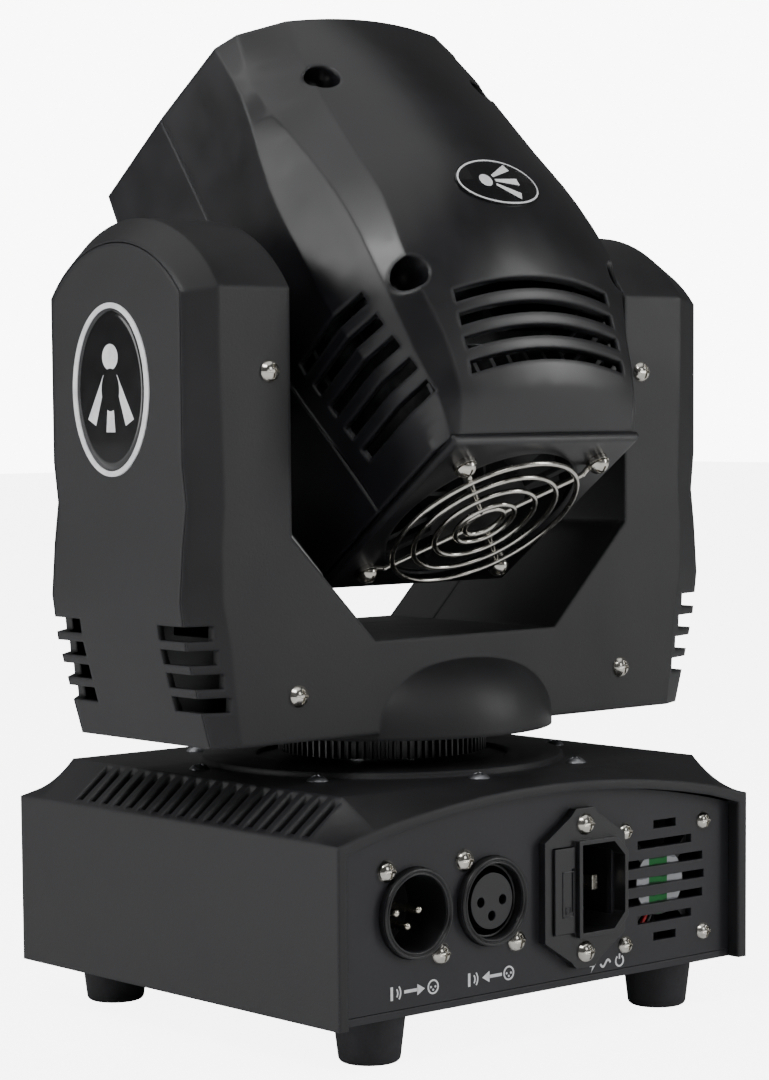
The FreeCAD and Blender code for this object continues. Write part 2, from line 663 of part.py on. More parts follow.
def power_board():
    board = box(20, 68, -40, 48, 24, 25.6)
    parts = [board, box(28, 50, -32, -12, 25.6, 43), rod((60, -24, 25.6), (0, 0, 1), 5.0, 18),
             rod((60, -10, 25.6), (0, 0, 1), 5.0, 18), box(30, 58, 4, 28, 25.6, 46),
             box(24, 27, -8, 30, 25.6, 44), rod((38, 38, 25.6), (0, 0, 1), 4.0, 12)]
    for x in (24, 64):
        for y in (-36, 42):
            parts.append(rod((x, y, FOOT_H + PLATE_T), (0, 0, 1), 2.4, 24.2 - FOOT_H - PLATE_T))
    return fuse(parts)


def main_board():
    board = box(-68, -24, -46, 40, 24, 25.6)
    parts = [board, box(-56, -42, -20, -6, 25.6, 27.6), box(-36, -28, 10, 34, 25.6, 34),
             box(-60, -50, 20, 36, 25.6, 33), rod((-34, -30, 25.6), (0, 0, 1), 4.0, 9)]
    for x in (-64, -28):
        for y in (-42, 36):
            parts.append(rod((x, y, FOOT_H + PLATE_T), (0, 0, 1), 2.4, 24.2 - FOOT_H - PLATE_T))
    return fuse(parts)


def pan_motor():
    """Square stepper hung under the top plate; its pinion stands up beside the pan gear."""
    z1 = MOTOR_TOP
    half = PAN_MOTOR_HALF
    body = box(-half, half, -PINION_Y - half, -PINION_Y + half, z1 - PAN_MOTOR_H, z1)
    upright = [e for e in body.Edges if abs(e.Vertexes[0].Z - e.Vertexes[1].Z) > 5]
    body = body.makeFillet(3.0, upright)
    pilot = tube((0, -PINION_Y, z1 - 6), (0, 0, 1), 4.2, MOTOR_SHAFT_R + RUN, 6.0)
    return body.cut(rod((0, -PINION_Y, z1 - 12), (0, 0, 1), MOTOR_SHAFT_R + RUN, 13)).fuse(pilot)


def pan_pinion():
    toothed = gear(PINION_TEETH, GEAR_MODULE, GEAR_Z0 + 0.2, GEAR_Z1 - 0.2, 0.6)
    toothed = turned(toothed, 90 + 180 / PINION_TEETH)
    shaft = rod((0, 0, MOTOR_TOP - 11), (0, 0, 1), MOTOR_SHAFT_R, GEAR_Z1 - MOTOR_TOP + 10.6)
    return moved(fuse([toothed, shaft]), y=-PINION_Y)


def pan_bearing():
    """Flanged bush in the top plate that carries the hollow pan shaft."""
    z0 = BASE_TOP_Z - 13.0
    flange_z = BASE_TOP_Z - BASE_WALL
    flange = rod((0, 0, flange_z), (0, 0, 1), PAN_FLANGE_R - 0.05, BASE_WALL + 0.6)
    bush = fuse([flange, rod((0, 0, z0), (0, 0, 1), PAN_SHAFT_R + 3.0, flange_z - z0 + 0.1)])
    return bush.cut(rod((0, 0, z0 - 1), (0, 0, 1), PAN_SHAFT_R + RUN, 20))


# ---------------------------------------------------------------- yoke
def pan_shaft():
    z0 = BASE_TOP_Z - 16.0
    z1 = YOKE_Z0 + YOKE_WALL
    shaft = rod((0, 0, z0), (0, 0, 1), PAN_SHAFT_R, z1 - z0)
    nut = rod((0, 0, z0 - 3), (0, 0, 1), PAN_SHAFT_R + 3.5, 5.4)
    body = fuse([shaft, nut])
    return body.cut(rod((0, 0, z0 - 5), (0, 0, 1), PAN_BORE_R, 60))


def pan_gear():
    ring = gear(GEAR_TEETH, GEAR_MODULE, GEAR_Z0, GEAR_Z1, PAN_SHAFT_R)
    hub = tube((0, 0, GEAR_Z1), (0, 0, 1), 24.0, PAN_SHAFT_R, HUB_Z0 - GEAR_Z1 - 0.1)
    return fuse([ring, hub])


def side_outline(x, front, rear, dome_r):
    """An arm seen from the side: straight flanks with a round top, as a closed wire at x."""
    middle = (front + rear) / 2
    corner_z = DOME_Z + math.sqrt(dome_r ** 2 - ((rear - front) / 2) ** 2)
    a = V(x, front, YOKE_Z0)
    b = V(x, rear, YOKE_Z0)
    c = V(x, rear, corner_z)
    d = V(x, front, corner_z)
    top = V(x, middle, DOME_Z + dome_r)
    edges = [Part.makeLine(a, b), Part.makeLine(b, c), Part.Arc(c, top, d).toShape(), Part.makeLine(d, a)]
    return Part.Wire(edges)


def band_outline(x, inset):
    return side_outline(x, YOKE_FRONT + inset, YOKE_REAR - inset, DOME_R - inset)


def face_outline(x, inset):
    return side_outline(x, OUTER_FRONT + inset, OUTER_REAR - inset, DOME_R_OUTER - inset)


def arm_section(station, inset):
    """A level section through the right-hand arm: a box with its two outer corners cut off."""
    z, band, outer = station
    band -= inset * 0.4
    outer -= inset
    front = YOKE_FRONT + inset
    rear = YOKE_REAR - inset
    loop = [(YOKE_INNER + inset, front), (band, front), (outer, OUTER_FRONT + inset),
            (outer, OUTER_REAR - inset), (band, rear), (YOKE_INNER + inset, rear)]
    z_in = z + inset if station is ARM_STATIONS[0] else z
    return wire([(x, y, z_in) for x, y in loop])


def arm(inset):
    """The right-hand (+X) arm: shaped sections below, a bevelled dome above."""
    split = ARM_STATIONS[-1][0]
    lower = Part.makeLoft([arm_section(station, inset) for station in ARM_STATIONS], True, True)
    band_x = YOKE_BAND_X - inset * 0.4
    near_x = YOKE_INNER + inset
    straight = Part.Face(band_outline(near_x, inset)).extrude(V(band_x - near_x, 0, 0))
    bevel = Part.makeLoft([band_outline(band_x, inset), face_outline(YOKE_OUTER - inset, inset)], True, True)
    upper = straight.fuse(bevel).common(box(0, 200, -100, 100, split, 300))
    return fuse([lower, upper])


def crossbar(inset):
    """The bridge between the arms, with the 45 degree gussets on its upper side."""
    z0 = YOKE_Z0 + inset
    top = CROSSBAR_TOP - inset
    lean = inset * 0.41
    x_out = YOKE_INNER + inset + 0.02
    loop = [(-x_out, z0), (x_out, z0), (x_out, GUSSET_TOP + inset), (YOKE_INNER + inset, GUSSET_TOP + inset),
            (GUSSET_X + lean, top), (-GUSSET_X - lean, top), (-YOKE_INNER - inset, GUSSET_TOP + inset),
            (-x_out, GUSSET_TOP + inset)]
    front = YOKE_FRONT + inset
    return prism([(x, front, z) for x, z in loop], (0, YOKE_REAR - inset - front, 0))


def yoke_block(inset):
    right = arm(inset)
    return fuse([crossbar(inset), right, mirrored_x(right)])


def hub_dome(inset):
    """The round housing over the pan gear, as a turned shape about the pan axis."""
    r = HUB_R - inset
    top = HUB_TOP - inset
    z0 = HUB_Z0 if inset == 0 else HUB_Z0 - 1
    points = [V(0, 0, z0), V(r, 0, z0)]
    bulge = Part.Arc(V(r, 0, HUB_Z0 + 2), V(r - 3.6, 0, (HUB_Z0 + top) / 2 + 3), V(r - 16, 0, top)).toShape()
    edges = [Part.makeLine(points[0], points[1]), Part.makeLine(points[1], V(r, 0, HUB_Z0 + 2)), bulge,
             Part.makeLine(V(r - 16, 0, top), V(0, 0, top)), Part.makeLine(V(0, 0, top), points[0])]
    return Part.Face(Part.Wire(edges)).revolve(V(0, 0, 0), V(0, 0, 1), 360)


def arm_face_x(z):
    """Where the outer face of the right-hand arm lies at height z."""
    for (z0, _, x0), (z1, _, x1) in zip(ARM_STATIONS, ARM_STATIONS[1:]):
        if z0 <= z <= z1:
            return x0 + (x1 - x0) * (z - z0) / (z1 - z0)
    return YOKE_OUTER


def corner_slot_cutters():
    cutters = []
    for k in range(CORNER_SLOTS):
        z = CORNER_SLOT_Z + CORNER_SLOT_PITCH * k
        x_in = arm_face_x(z) - CORNER_SLOT_DEPTH
        for y0, y1 in ((OUTER_REAR - CORNER_SLOT_REACH, 45), (-45, OUTER_FRONT + CORNER_SLOT_REACH)):
            slot = box(x_in, 110, y0, y1, z, z + CORNER_SLOT_H)
            cutters += [slot, mirrored_x(slot)]
    return Part.makeCompound(cutters)


def panel_core():
    """Outline of the flat outer faces, run through the whole width, that the side panels fill."""
    return Part.Face(face_outline(-120, 0.6)).extrude(V(240, 0, 0))


def yoke_pieces():
    """The two shell halves and both side panels, cut from one hollow U."""
    outer = yoke_block(0).fuse(hub_dome(0)).removeSplitter()
    hollow = yoke_block(YOKE_WALL).fuse(hub_dome(YOKE_WALL + 0.4))
    shell = outer.cut(hollow)
    shell = shell.cut(rod((0, 0, 60), (0, 0, 1), 34.0, HUB_Z0 + 1.5 - 60))
    shell = shell.cut(corner_slot_cutters())
    for side in (-1, 1):
        shell = shell.cut(rod((side * 50, 0, TILT_Z), (side, 0, 0), BEARING_R + 0.1, 20))
        for x, z in YOKE_SCREWS:
            shell = shell.cut(rod((side * x, -60, z), (0, 1, 0), YOKE_SCREW_R + 0.1, 120))
    right_arm = arm(0)
    skin = right_arm.cut(moved(right_arm, x=-PANEL_T)).common(panel_core())
    skin = skin.cut(corner_slot_cutters())
    rim = Part.Face(face_outline(80, 0.3)).extrude(V(30, 0, 0))
    rim = right_arm.common(rim).cut(moved(right_arm, x=-PANEL_T - 0.3))
    shell = shell.cut(rim).cut(mirrored_x(rim))
    rear = shell.common(box(-120, 120, SEAM_Y + 0.1, 80, 60, 240))
    front = shell.common(box(-120, 120, -80, SEAM_Y - 0.1, 60, 240))
    return rear, front, skin, mirrored_x(skin)


def yoke_frame():
    """Folded steel U inside the shells that carries the pan shaft and both tilt bearings."""
    t = 1.6
    z0 = YOKE_Z0 + YOKE_WALL + 0.3
    x_in = YOKE_INNER + YOKE_WALL + 0.3
    floor = box(-x_in - t, x_in + t, -22, 22, z0, z0 + t)
    floor = floor.cut(rod((0, 0, 0), (0, 0, 1), PAN_BORE_R, 200))
    uprights = []
    for side in (-1, 1):
        x0, x1 = sorted((side * x_in, side * (x_in + t)))
        plate = box(x0, x1, -22, 22, z0, TILT_Z + 18)
        plate = plate.cut(rod((side * 50, 0, TILT_Z), (side, 0, 0), BEARING_R - 2, 30))
        plate = plate.cut(box(x0 - 1, x1 + 1, -10, 10, 110, 122))
        uprights.append(plate)
    return fuse([floor] + uprights)


def tilt_bearings():
    rings = []
    for side in (-1, 1):
        x0 = side * (YOKE_INNER - 0.2)
        length = YOKE_WALL + 0.3
        flange = tube((x0, 0, TILT_Z), (side, 0, 0), BEARING_R, TILT_SHAFT_R + RUN, length)
        nose = tube((x0, 0, TILT_Z), (side, 0, 0), BEARING_R - 2, TILT_SHAFT_R + RUN, length + 6.4)
        rings.append(fuse([flange, nose]))
    return rings


def tilt_pulley():
    wheel = rod((PULLEY_X, 0, TILT_Z), (1, 0, 0), TILT_PULLEY_R, PULLEY_W)
    rims = [rod((x, 0, TILT_Z), (1, 0, 0), TILT_PULLEY_R + 2.2, 0.8)
            for x in (PULLEY_X - 0.8, PULLEY_X + PULLEY_W)]
    body = fuse([wheel] + rims)
    body = body.cut(rod((PULLEY_X - 2, 0, TILT_Z), (1, 0, 0), TILT_SHAFT_R, 12))
    for k in range(5):
        a = math.radians(72 * k)
        hole = rod((PULLEY_X - 2, 13.2 * math.sin(a), TILT_Z + 13.2 * math.cos(a)), (1, 0, 0), 3.0, 12)
        body = body.cut(hole)
    return body


def tilt_pinion():
    shaft = rod((PULLEY_X - 1.2, 0, TILT_MOTOR_Z), (1, 0, 0), MOTOR_SHAFT_R, PULLEY_W + 6.0)
    wheel = rod((PULLEY_X - 0.3, 0, TILT_MOTOR_Z), (1, 0, 0), TILT_PINION_R, PULLEY_W + 0.6)
    rim = rod((PULLEY_X - 1.2, 0, TILT_MOTOR_Z), (1, 0, 0), TILT_PINION_R + 1.8, 0.9)
    return fuse([shaft, wheel, rim])


def belt_outline(x, extra):
    """Open-belt line around both tilt pulleys, at a distance extra outside their rims."""
    big = TILT_PULLEY_R + extra
    small = TILT_PINION_R + extra
    span = TILT_Z - TILT_MOTOR_Z
    lean = math.asin((big - small) / span)
    c = math.cos(lean)
    s = math.sin(lean)
    a = V(x, big * c, TILT_Z - big * s)
    b = V(x, -big * c, TILT_Z - big * s)
    d = V(x, small * c, TILT_MOTOR_Z - small * s)
    e = V(x, -small * c, TILT_MOTOR_Z - small * s)
    edges = [Part.Arc(a, V(x, 0, TILT_Z + big), b).toShape(), Part.makeLine(b, e),
             Part.Arc(e, V(x, 0, TILT_MOTOR_Z - small), d).toShape(), Part.makeLine(d, a)]
    return Part.Face(Part.Wire(edges))


def tilt_belt():
    x0 = PULLEY_X + 0.5
    width = PULLEY_W - 1.0
    solid = belt_outline(x0, FIT + BELT_T).extrude(V(width, 0, 0))
    return solid.cut(belt_outline(x0 - 1, FIT).extrude(V(width + 2, 0, 0)))


def tilt_motor():
    x0 = PULLEY_X + PULLEY_W + 1.6
    can = rod((x0, 0, TILT_MOTOR_Z), (1, 0, 0), TILT_MOTOR_R, 10.0)
    ears = box(x0, x0 + 1.2, -24.5, 24.5, TILT_MOTOR_Z - 4, TILT_MOTOR_Z + 4)
    body = fuse([can, ears])
    for sy in (-1, 1):
        body = fuse([body, rod((YOKE_INNER + YOKE_WALL + 1.9, sy * 21, TILT_MOTOR_Z), (1, 0, 0), 2.2,
                               x0 - YOKE_INNER - YOKE_WALL - 1.9)])
    return body.cut(rod((x0 - 1, 0, TILT_MOTOR_Z), (1, 0, 0), MOTOR_SHAFT_R + RUN, 8))


def arm_badges():
    """A thin raised oval ring on each side panel."""
    oval = Part.Ellipse(V(0, 0, 0), BADGE_TALL, BADGE_WIDE).toShape()
    inner = Part.Ellipse(V(0, 0, 0), BADGE_TALL - BADGE_BAND_TALL, BADGE_WIDE - BADGE_BAND_WIDE).toShape()
    depth = 2.0
    ring = Part.Face(Part.Wire(oval)).extrude(V(0, 0, depth))
    ring = ring.cut(Part.Face(Part.Wire(inner)).extrude(V(0, 0, depth)))
    ring = turned(ring, 90, (0, 1, 0))
    ring = moved(ring, x=YOKE_OUTER + BADGE_PROUD - depth, y=BADGE_Y, z=BADGE_Z).cut(arm(0))
    return [ring, mirrored_x(ring)]


def yoke_screws():
    proto = pan_screw(3.1, 2.2, YOKE_SCREW_R, 5.0)
    out = []
    for x, z in YOKE_SCREWS:
        for sx in (-1, 1):
            out.append(aimed(proto, (sx * x, YOKE_REAR, z), (0, 1, 0)))
            out.append(aimed(proto, (sx * x, YOKE_FRONT, z), (0, -1, 0)))
    return out


# ---------------------------------------------------------------- head, drawn upright

def crown(edge, ridge):
    """Points from the crown's edge to the ridge along a parabola."""
    x1, y1 = edge
    shares = [1 - k / CROWN_STEPS for k in range(CROWN_STEPS + 1)]
    return [(x1 * share, ridge - (ridge - y1) * share ** 2) for share in shares]


def flat_row(station):
    """A station's numbers in one list."""
    return list(station[:2]) + [value for point in station[2:-1] for value in point] + [station[-1]]


def finer(stations):
    """The stations with more between them, on smooth curves through the given ones."""
    rows = [flat_row(station) for station in stations]
    count = len(rows)
    slopes = []
    for i in range(count):
        near = [(rows[k], rows[k + 1]) for k in (i - 1, i) if 0 <= k < count - 1]
        slopes.append([
            sum((b[n] - a[n]) / (b[0] - a[0]) for a, b in near) / len(near)
            for n in range(len(rows[0]))
        ])
    out = []
    for i in range(count - 1):
        a, b = rows[i], rows[i + 1]
        span = b[0] - a[0]
        for step in range(STATION_STEPS):
            t = step / STATION_STEPS
            row = []
            for n in range(len(a)):
                bend = (t - 1) ** 2 * t * slopes[i][n] + (t - 1) * t ** 2 * slopes[i + 1][n]
                row.append(a[n] + (b[n] - a[n]) * t * t * (3 - 2 * t) + span * bend)
            out.append(row)
    return out + [rows[-1]]


def head_wire(z, half_points, inset):
    """Mirror half an outline, pull it in by inset and close it at height z."""
    pulled = []
    for x, y in half_points:
        y_in = y - inset * (1 if y > OPTIC_Y else -1) if abs(y - OPTIC_Y) > 0.5 else y
        pulled.append((max(x - inset, 0.0), y_in))
    left = [(-x, y) for x, y in reversed(pulled[:-1])]
    points = pulled + left
    return wire([(x, y, z) for x, y in points])


def cover_block(stations, inset, reach):
    rows = finer(stations)
    if inset:
        rows[0][0] += reach
        rows[-1][0] -= reach
    wires = []
    for row in rows:
        points = [(row[k], row[k + 1]) for k in range(2, len(row) - 1, 2)]
        outline = [(row[1], OPTIC_Y)] + points[:-1] + crown(points[-1], row[-1])
        wires.append(head_wire(row[0], outline, inset))
    return Part.makeLoft(wires, True, True)


def cover_cavity():
    """The space inside both covers, kept a hair clear of their walls."""
    gap = HEAD_WALL + 0.2
    return cover_block(UPPER_STATIONS, gap, 1.0).fuse(cover_block(LOWER_STATIONS, gap, 1.0)).removeSplitter()


def into_rest(shape):
    """Turn a head piece from its upright frame into the rest pose."""
    copy = turned(shape, HEAD_REST_TILT, (1, 0, 0))
    copy.translate(V(0, 0, TILT_Z))
    return copy


def hub_hole():
    return rod((-80, 0, 0), (1, 0, 0), TILT_HUB_R - 3, 160)


def upper_cover():
    block = cover_block(UPPER_STATIONS, 0, 0)
    shell = block.cut(cover_block(UPPER_STATIONS, HEAD_WALL, 1.0))
    posts = []
    for x, z in COVER_SCREWS:
        for side in (-1, 1):
            posts.append(rod((side * x, COVER_SCREW_FLOOR - 3, z), (0, 1, 0), 6.4, 30))
    shell = fuse([shell] + [p.common(block) for p in posts])
    for x, z in COVER_SCREWS:
        for side in (-1, 1):
            shell = shell.cut(rod((side * x, COVER_SCREW_FLOOR, z), (0, 1, 0), COVER_SCREW_WELL_R, 40))
            shell = shell.cut(rod((side * x, COVER_SCREW_FLOOR - 6, z), (0, 1, 0), COVER_SCREW_HOLE_R, 12))
    cutters = []
    for z, y in VENT_STATIONS:
        cutters.append(vent_cutter(z, y))
    for k in range(SIDE_VENTS):
        cutters.append(side_vent_cutter(k, 1))
        cutters.append(side_vent_cutter(k, -1))
    cutters.append(hub_hole())
    return shell.cut(Part.makeCompound(cutters))


def vent_cutter(z, y):
    """One wide slot across the crown, bowed towards the beam end in the middle."""
    loop = [V(-VENT_HALF, y - 9, z), V(VENT_HALF, y - 9, z)]
    low = Part.Arc(loop[0], V(0, y - 9, z + VENT_BOW), loop[1]).toShape()
    high = Part.Arc(V(-VENT_HALF, y - 9, z + VENT_W), V(0, y - 9, z + VENT_W + VENT_BOW),
                    V(VENT_HALF, y - 9, z + VENT_W)).toShape()
    ends = [Part.makeLine(loop[1], V(VENT_HALF, y - 9, z + VENT_W)),
            Part.makeLine(V(-VENT_HALF, y - 9, z + VENT_W), loop[0])]
    face = Part.Face(Part.Wire(Part.__sortEdges__([low, high] + ends)))
    return face.extrude(V(0, 30, 0))


def side_vent_cutter(k, side):
    """One slot round the side and facet of the upper cover, a box that stays off the parting line."""
    z = SIDE_VENT_Z0 + SIDE_VENT_PITCH * k
    x0, x1 = sorted((side * 33.5, side * 70))
    return box(x0, x1, OPTIC_Y + 7, 47.5, z, z + SIDE_VENT_H)


def lower_cover():
    shell = cover_block(LOWER_STATIONS, 0, 0).cut(cover_block(LOWER_STATIONS, HEAD_WALL, 1.0))
    for k in range(LOWER_VENTS):
        z = LOWER_VENT_Z0 + LOWER_VENT_PITCH * k
        shell = shell.cut(box(-LOWER_VENT_HALF, LOWER_VENT_HALF, -70, -20, z, z + LOWER_VENT_W))
    for x, z in LOWER_SCREWS:
        for side in (-1, 1):
            shell = shell.cut(rod((side * x, 0, z), (0, -1, 0), COVER_SCREW_HOLE_R, 70))
    seam = box(-70, 70, OPTIC_Y - SEAM_GAP, OPTIC_Y + 1, HEAD_REAR - 2, HEAD_FRONT + 2)
    seam = seam.cut(cover_block(LOWER_STATIONS, HEAD_WALL / 2, 3.0))
    return shell.cut(seam).cut(hub_hole())


def rear_frame():
    """Square frame that closes the rear of the covers and holds the fan."""
    half = FRAME_HALF
    c = OPTIC_Y
    flange = box(-half, half, c - half, c + half, FRAME_Z0, HEAD_REAR - 0.1)
    flange = flange.makeChamfer(0.9, [e for e in flange.Edges if e.BoundBox.ZMax < FRAME_Z0 + 0.01])
    spigot = box(-33.0, 33.0, c - 33.0, c + 33.0, HEAD_REAR - 0.2, HEAD_REAR + 7.0).common(cover_cavity())
    body = fuse([flange, spigot])
    opening = FAN60_SIZE / 2 + 0.1
    body = body.cut(box(-opening, opening, c - opening, c + opening, FRAME_Z0 + FRAME_LIP, 0))
    bore = rod((0, c, FRAME_Z0 - 1), (0, 0, 1), FAN60_SIZE / 2 - 1.4, 10)
    body = body.cut(bore)
    for sx in (-1, 1):
        for sy in (-1, 1):
            body = body.cut(rod((sx * 25, c + sy * 25, FRAME_Z0 - 1), (0, 0, 1), 1.8, 10))
    return body


def head_fan():
    frame = fan_frame(FAN60_SIZE, FAN60_T, FAN60_PITCH, 2.2)
    rotor = fan_rotor(FAN60_SIZE, FAN60_T, 7)
    z = FRAME_Z0 + 1.5
    return moved(frame, y=OPTIC_Y, z=z), moved(rotor, y=OPTIC_Y, z=z)


def fan_guard():
    """Four wire rings on two bent cross wires that end in eyes under the corner screws."""
    r = GUARD_WIRE_R
    rings = [Part.makeTorus(ring_r, r, V(0, 0, 0)) for ring_r in GUARD_RINGS]
    hub = Part.makeTorus(GUARD_HUB_R, r + 0.1, V(0, 0, GUARD_WIRE_LIFT))
    eye = tube((0, 0, -GUARD_EYE_T / 2), (0, 0, 1), GUARD_EYE_R, GUARD_EYE_HOLE_R, GUARD_EYE_T)
    corner = FAN60_PITCH / 2 * math.sqrt(2)
    drop = FRAME_Z0 - GUARD_Z - r
    reach = corner - (GUARD_EYE_R + GUARD_EYE_HOLE_R) / 2 - GUARD_KNEE_X
    rise = drop - GUARD_WIRE_LIFT
    start = GUARD_HUB_R - 0.2
    arms = []
    for k in range(4):
        inner = rod((start, 0, GUARD_WIRE_LIFT), (1, 0, 0), r, GUARD_KNEE_X - start)
        knee = Part.makeSphere(r + 0.1, V(GUARD_KNEE_X, 0, GUARD_WIRE_LIFT))
        slope = rod((GUARD_KNEE_X, 0, GUARD_WIRE_LIFT), (reach, 0, rise), r, math.hypot(reach, rise))
        arms += [turned(piece, 45 + 90 * k) for piece in (inner, knee, slope, moved(eye, x=corner, z=drop))]
    guard = rings[0].multiFuse(rings[1:] + [hub] + arms)
    return moved(guard, y=OPTIC_Y, z=GUARD_Z)


def head_screws():
    """Guard screws, cover screws and front bezel screws."""
    out = []
    guard = pan_screw(3.0, 2.1, 1.5, 12.0)
    for sx in (-1, 1):
        for sy in (-1, 1):
            out.append(aimed(guard, (sx * 25, OPTIC_Y + sy * 25, FRAME_Z0 - GUARD_EYE_T - 0.5), (0, 0, -1)))
    cover = pan_screw(3.0, 2.1, 1.4, 7.0)
    for x, z in COVER_SCREWS:
        for side in (-1, 1):
            out.append(aimed(cover, (side * x, COVER_SCREW_FLOOR, z), (0, 1, 0)))
    small = pan_screw(2.4, 1.7, 1.1, 6.0)
    for x, y in BEZEL_SCREWS:
        out.append(aimed(small, (x, y, BEZEL_Z + BEZEL_T), (0, 0, 1)))
    return out


def front_bezel():
    """Plate set into the beam end with the lens opening and a raised round collar."""
    c = OPTIC_Y
    loop = [(42.4, -16), (42.4, 36), (38.2, 42), (26, 49), (0, 51.5), (-26, 49), (-38.2, 42), (-42.4, 36),
            (-42.4, -16), (-32, -35.5), (32, -35.5)]
    plate = prism([(x, y, BEZEL_Z) for x, y in loop], (0, 0, BEZEL_T))
    collar = rod((0, c, BEZEL_Z), (0, 0, 1), BARREL_R + 4.0, 5.0)
    body = fuse([plate, collar]).cut(rod((0, c, BEZEL_Z - 1), (0, 0, 1), BARREL_R + FIT, 20))
    for x, y in BEZEL_SCREWS:
        body = body.cut(rod((x, y, BEZEL_Z - 1), (0, 0, 1), 1.3, 6))
    return body


def focus_barrel():
    """Lens barrel that runs in and out in the bezel collar for focus."""
    c = OPTIC_Y
    body = rod((0, c, BARREL_Z0), (0, 0, 1), BARREL_R, BARREL_Z1 - BARREL_Z0)
    body = body.cut(rod((0, c, BARREL_Z0 - 1), (0, 0, 1), LENS_R - 2.0, 60))
    body = body.cut(rod((0, c, BARREL_Z1 - 11), (0, 0, 1), LENS_R + 0.02, 20))
    ridges = []
    for k in range(36):
        notch = box(BARREL_R - 0.7, BARREL_R + 1, -0.7, 0.7, BARREL_Z1 - 2.4, BARREL_Z1 + 1)
        ridges.append(moved(turned(notch, 10 * k), y=c))
    return body.cut(Part.makeCompound(ridges))


def front_lens():
    """Plano-convex glass, its domed face towards the beam end."""
    height = 6.5
    r = LENS_R
    ball = (r * r + height * height) / (2 * height)
    z0 = BARREL_Z1 - 10.9
    dome = Part.makeSphere(ball, V(0, OPTIC_Y, z0 + 2.5 + height - ball))
    disc = rod((0, OPTIC_Y, z0), (0, 0, 1), r, 2.5 + height)
    return disc.common(dome)


def optics_bracket():
    """Plate across the head that carries both wheel motors, the gate and the pivot plates."""
    z0 = BRACKET_Z
    half = BRACKET_HALF
    plate = box(-half, half, -30, 48, z0, z0 + BRACKET_T)
    plate = plate.cut(rod((0, OPTIC_Y, z0 - 1), (0, 0, 1), 8.0, 5))
    sides = []
    for side in (-1, 1):
        x0, x1 = sorted((side * (half - BRACKET_T), side * half))
        sides.append(box(x0, x1, -15, 15, -20, z0 + BRACKET_T))
    gate = tube((0, OPTIC_Y, z0 + BRACKET_T), (0, 0, 1), 10.0, 8.0, 4.0)
    body = fuse([plate] + sides + [gate]).common(cover_cavity())
    body = body.cut(rod((-80, 0, 0), (1, 0, 0), TILT_SHAFT_BORE, 160))
    for side in (-1, 1):
        body = body.cut(rod((0, OPTIC_Y + side * WHEEL_OFFSET, z0 - 1), (0, 0, 1), 1.5 + 2 * RUN, 5))
    return body


def wheel_motors():
    cans = []
    for side in (-1, 1):
        y = OPTIC_Y + side * WHEEL_OFFSET
        can = rod((0, y, BRACKET_Z - WHEEL_MOTOR_H), (0, 0, 1), 10.0, WHEEL_MOTOR_H)
        ears = box(-15.0, 15.0, y - 3.4, y + 3.4, BRACKET_Z - 1.0, BRACKET_Z)
        body = fuse([can, ears])
        cans.append(body.cut(rod((0, y, 6.0), (0, 0, 1), WHEEL_SHAFT_R + RUN, 10)))
    return cans


def wheel(side, z, holes, hole_r):
    """A thin disc on its motor shaft with round openings on the beam's circle."""
    y = OPTIC_Y + side * WHEEL_OFFSET
    disc = rod((0, 0, 0), (0, 0, 1), WHEEL_R, WHEEL_T)
    for k in range(holes):
        a = math.radians(360 / holes * k - 90 * side)
        centre = (WHEEL_OFFSET * math.cos(a), WHEEL_OFFSET * math.sin(a), -1)
        disc = disc.cut(rod(centre, (0, 0, 1), hole_r, 4))
    hub = rod((0, 0, -1.0), (0, 0, 1), 5.0, 2.2)
    shaft = rod((0, 0, WHEEL_SHAFT_Z0 - z), (0, 0, 1), WHEEL_SHAFT_R, z - WHEEL_SHAFT_Z0 + 1.8)
    return moved(fuse([disc, hub, shaft]), y=y, z=z)


def heat_sink():
    """Finned aluminium block between the lamp board and the fan."""
    c = OPTIC_Y
    base = box(-29, 29, c - 29, c + 29, LAMP_Z - 5.0, LAMP_Z)
    fins = [box(x - 0.7, x + 0.7, c - 29, c + 29, -40.0, -21.5) for x in range(-28, 29, 7)]
    return fuse([base] + fins)


def led_module():
    """Lamp board with its emitter dome and the condenser tube that leads to the gate."""
    c = OPTIC_Y
    board = rod((0, c, LAMP_Z), (0, 0, 1), 14.0, 1.6)
    dome = Part.makeSphere(4.2, V(0, c, LAMP_Z + 1.6)).common(box(-8, 8, c - 8, c + 8, LAMP_Z + 1.0, 0))
    tube_body = tube((0, c, LAMP_Z + 1.4), (0, 0, 1), 7.9, 6.6, BRACKET_Z - LAMP_Z - 1.6)
    return fuse([board, dome, tube_body])


def tilt_shafts():
    """Hollow pivots with their hub discs: the right one is longer and carries the pulley."""
    out = []
    x0 = BRACKET_HALF
    for side, tip in ((1, PULLEY_X + PULLEY_W + 1.2), (-1, 76.0)):
        flange = rod((side * x0, 0, 0), (side, 0, 0), TILT_HUB_R - 3.4, YOKE_INNER - PIVOT_GAP - x0)
        shaft = rod((side * x0, 0, 0), (side, 0, 0), TILT_SHAFT_R, tip - x0)
        collar = Part.makeCone(TILT_HUB_R + 4.0, TILT_HUB_R + 1.0, YOKE_INNER - PIVOT_GAP - COLLAR_X,
                               V(side * COLLAR_X, 0, 0), V(side, 0, 0))
        body = fuse([flange, shaft, collar])
        out.append(body.cut(rod((side * (x0 - 1), 0, 0), (side, 0, 0), TILT_SHAFT_BORE, 60)))
    return out


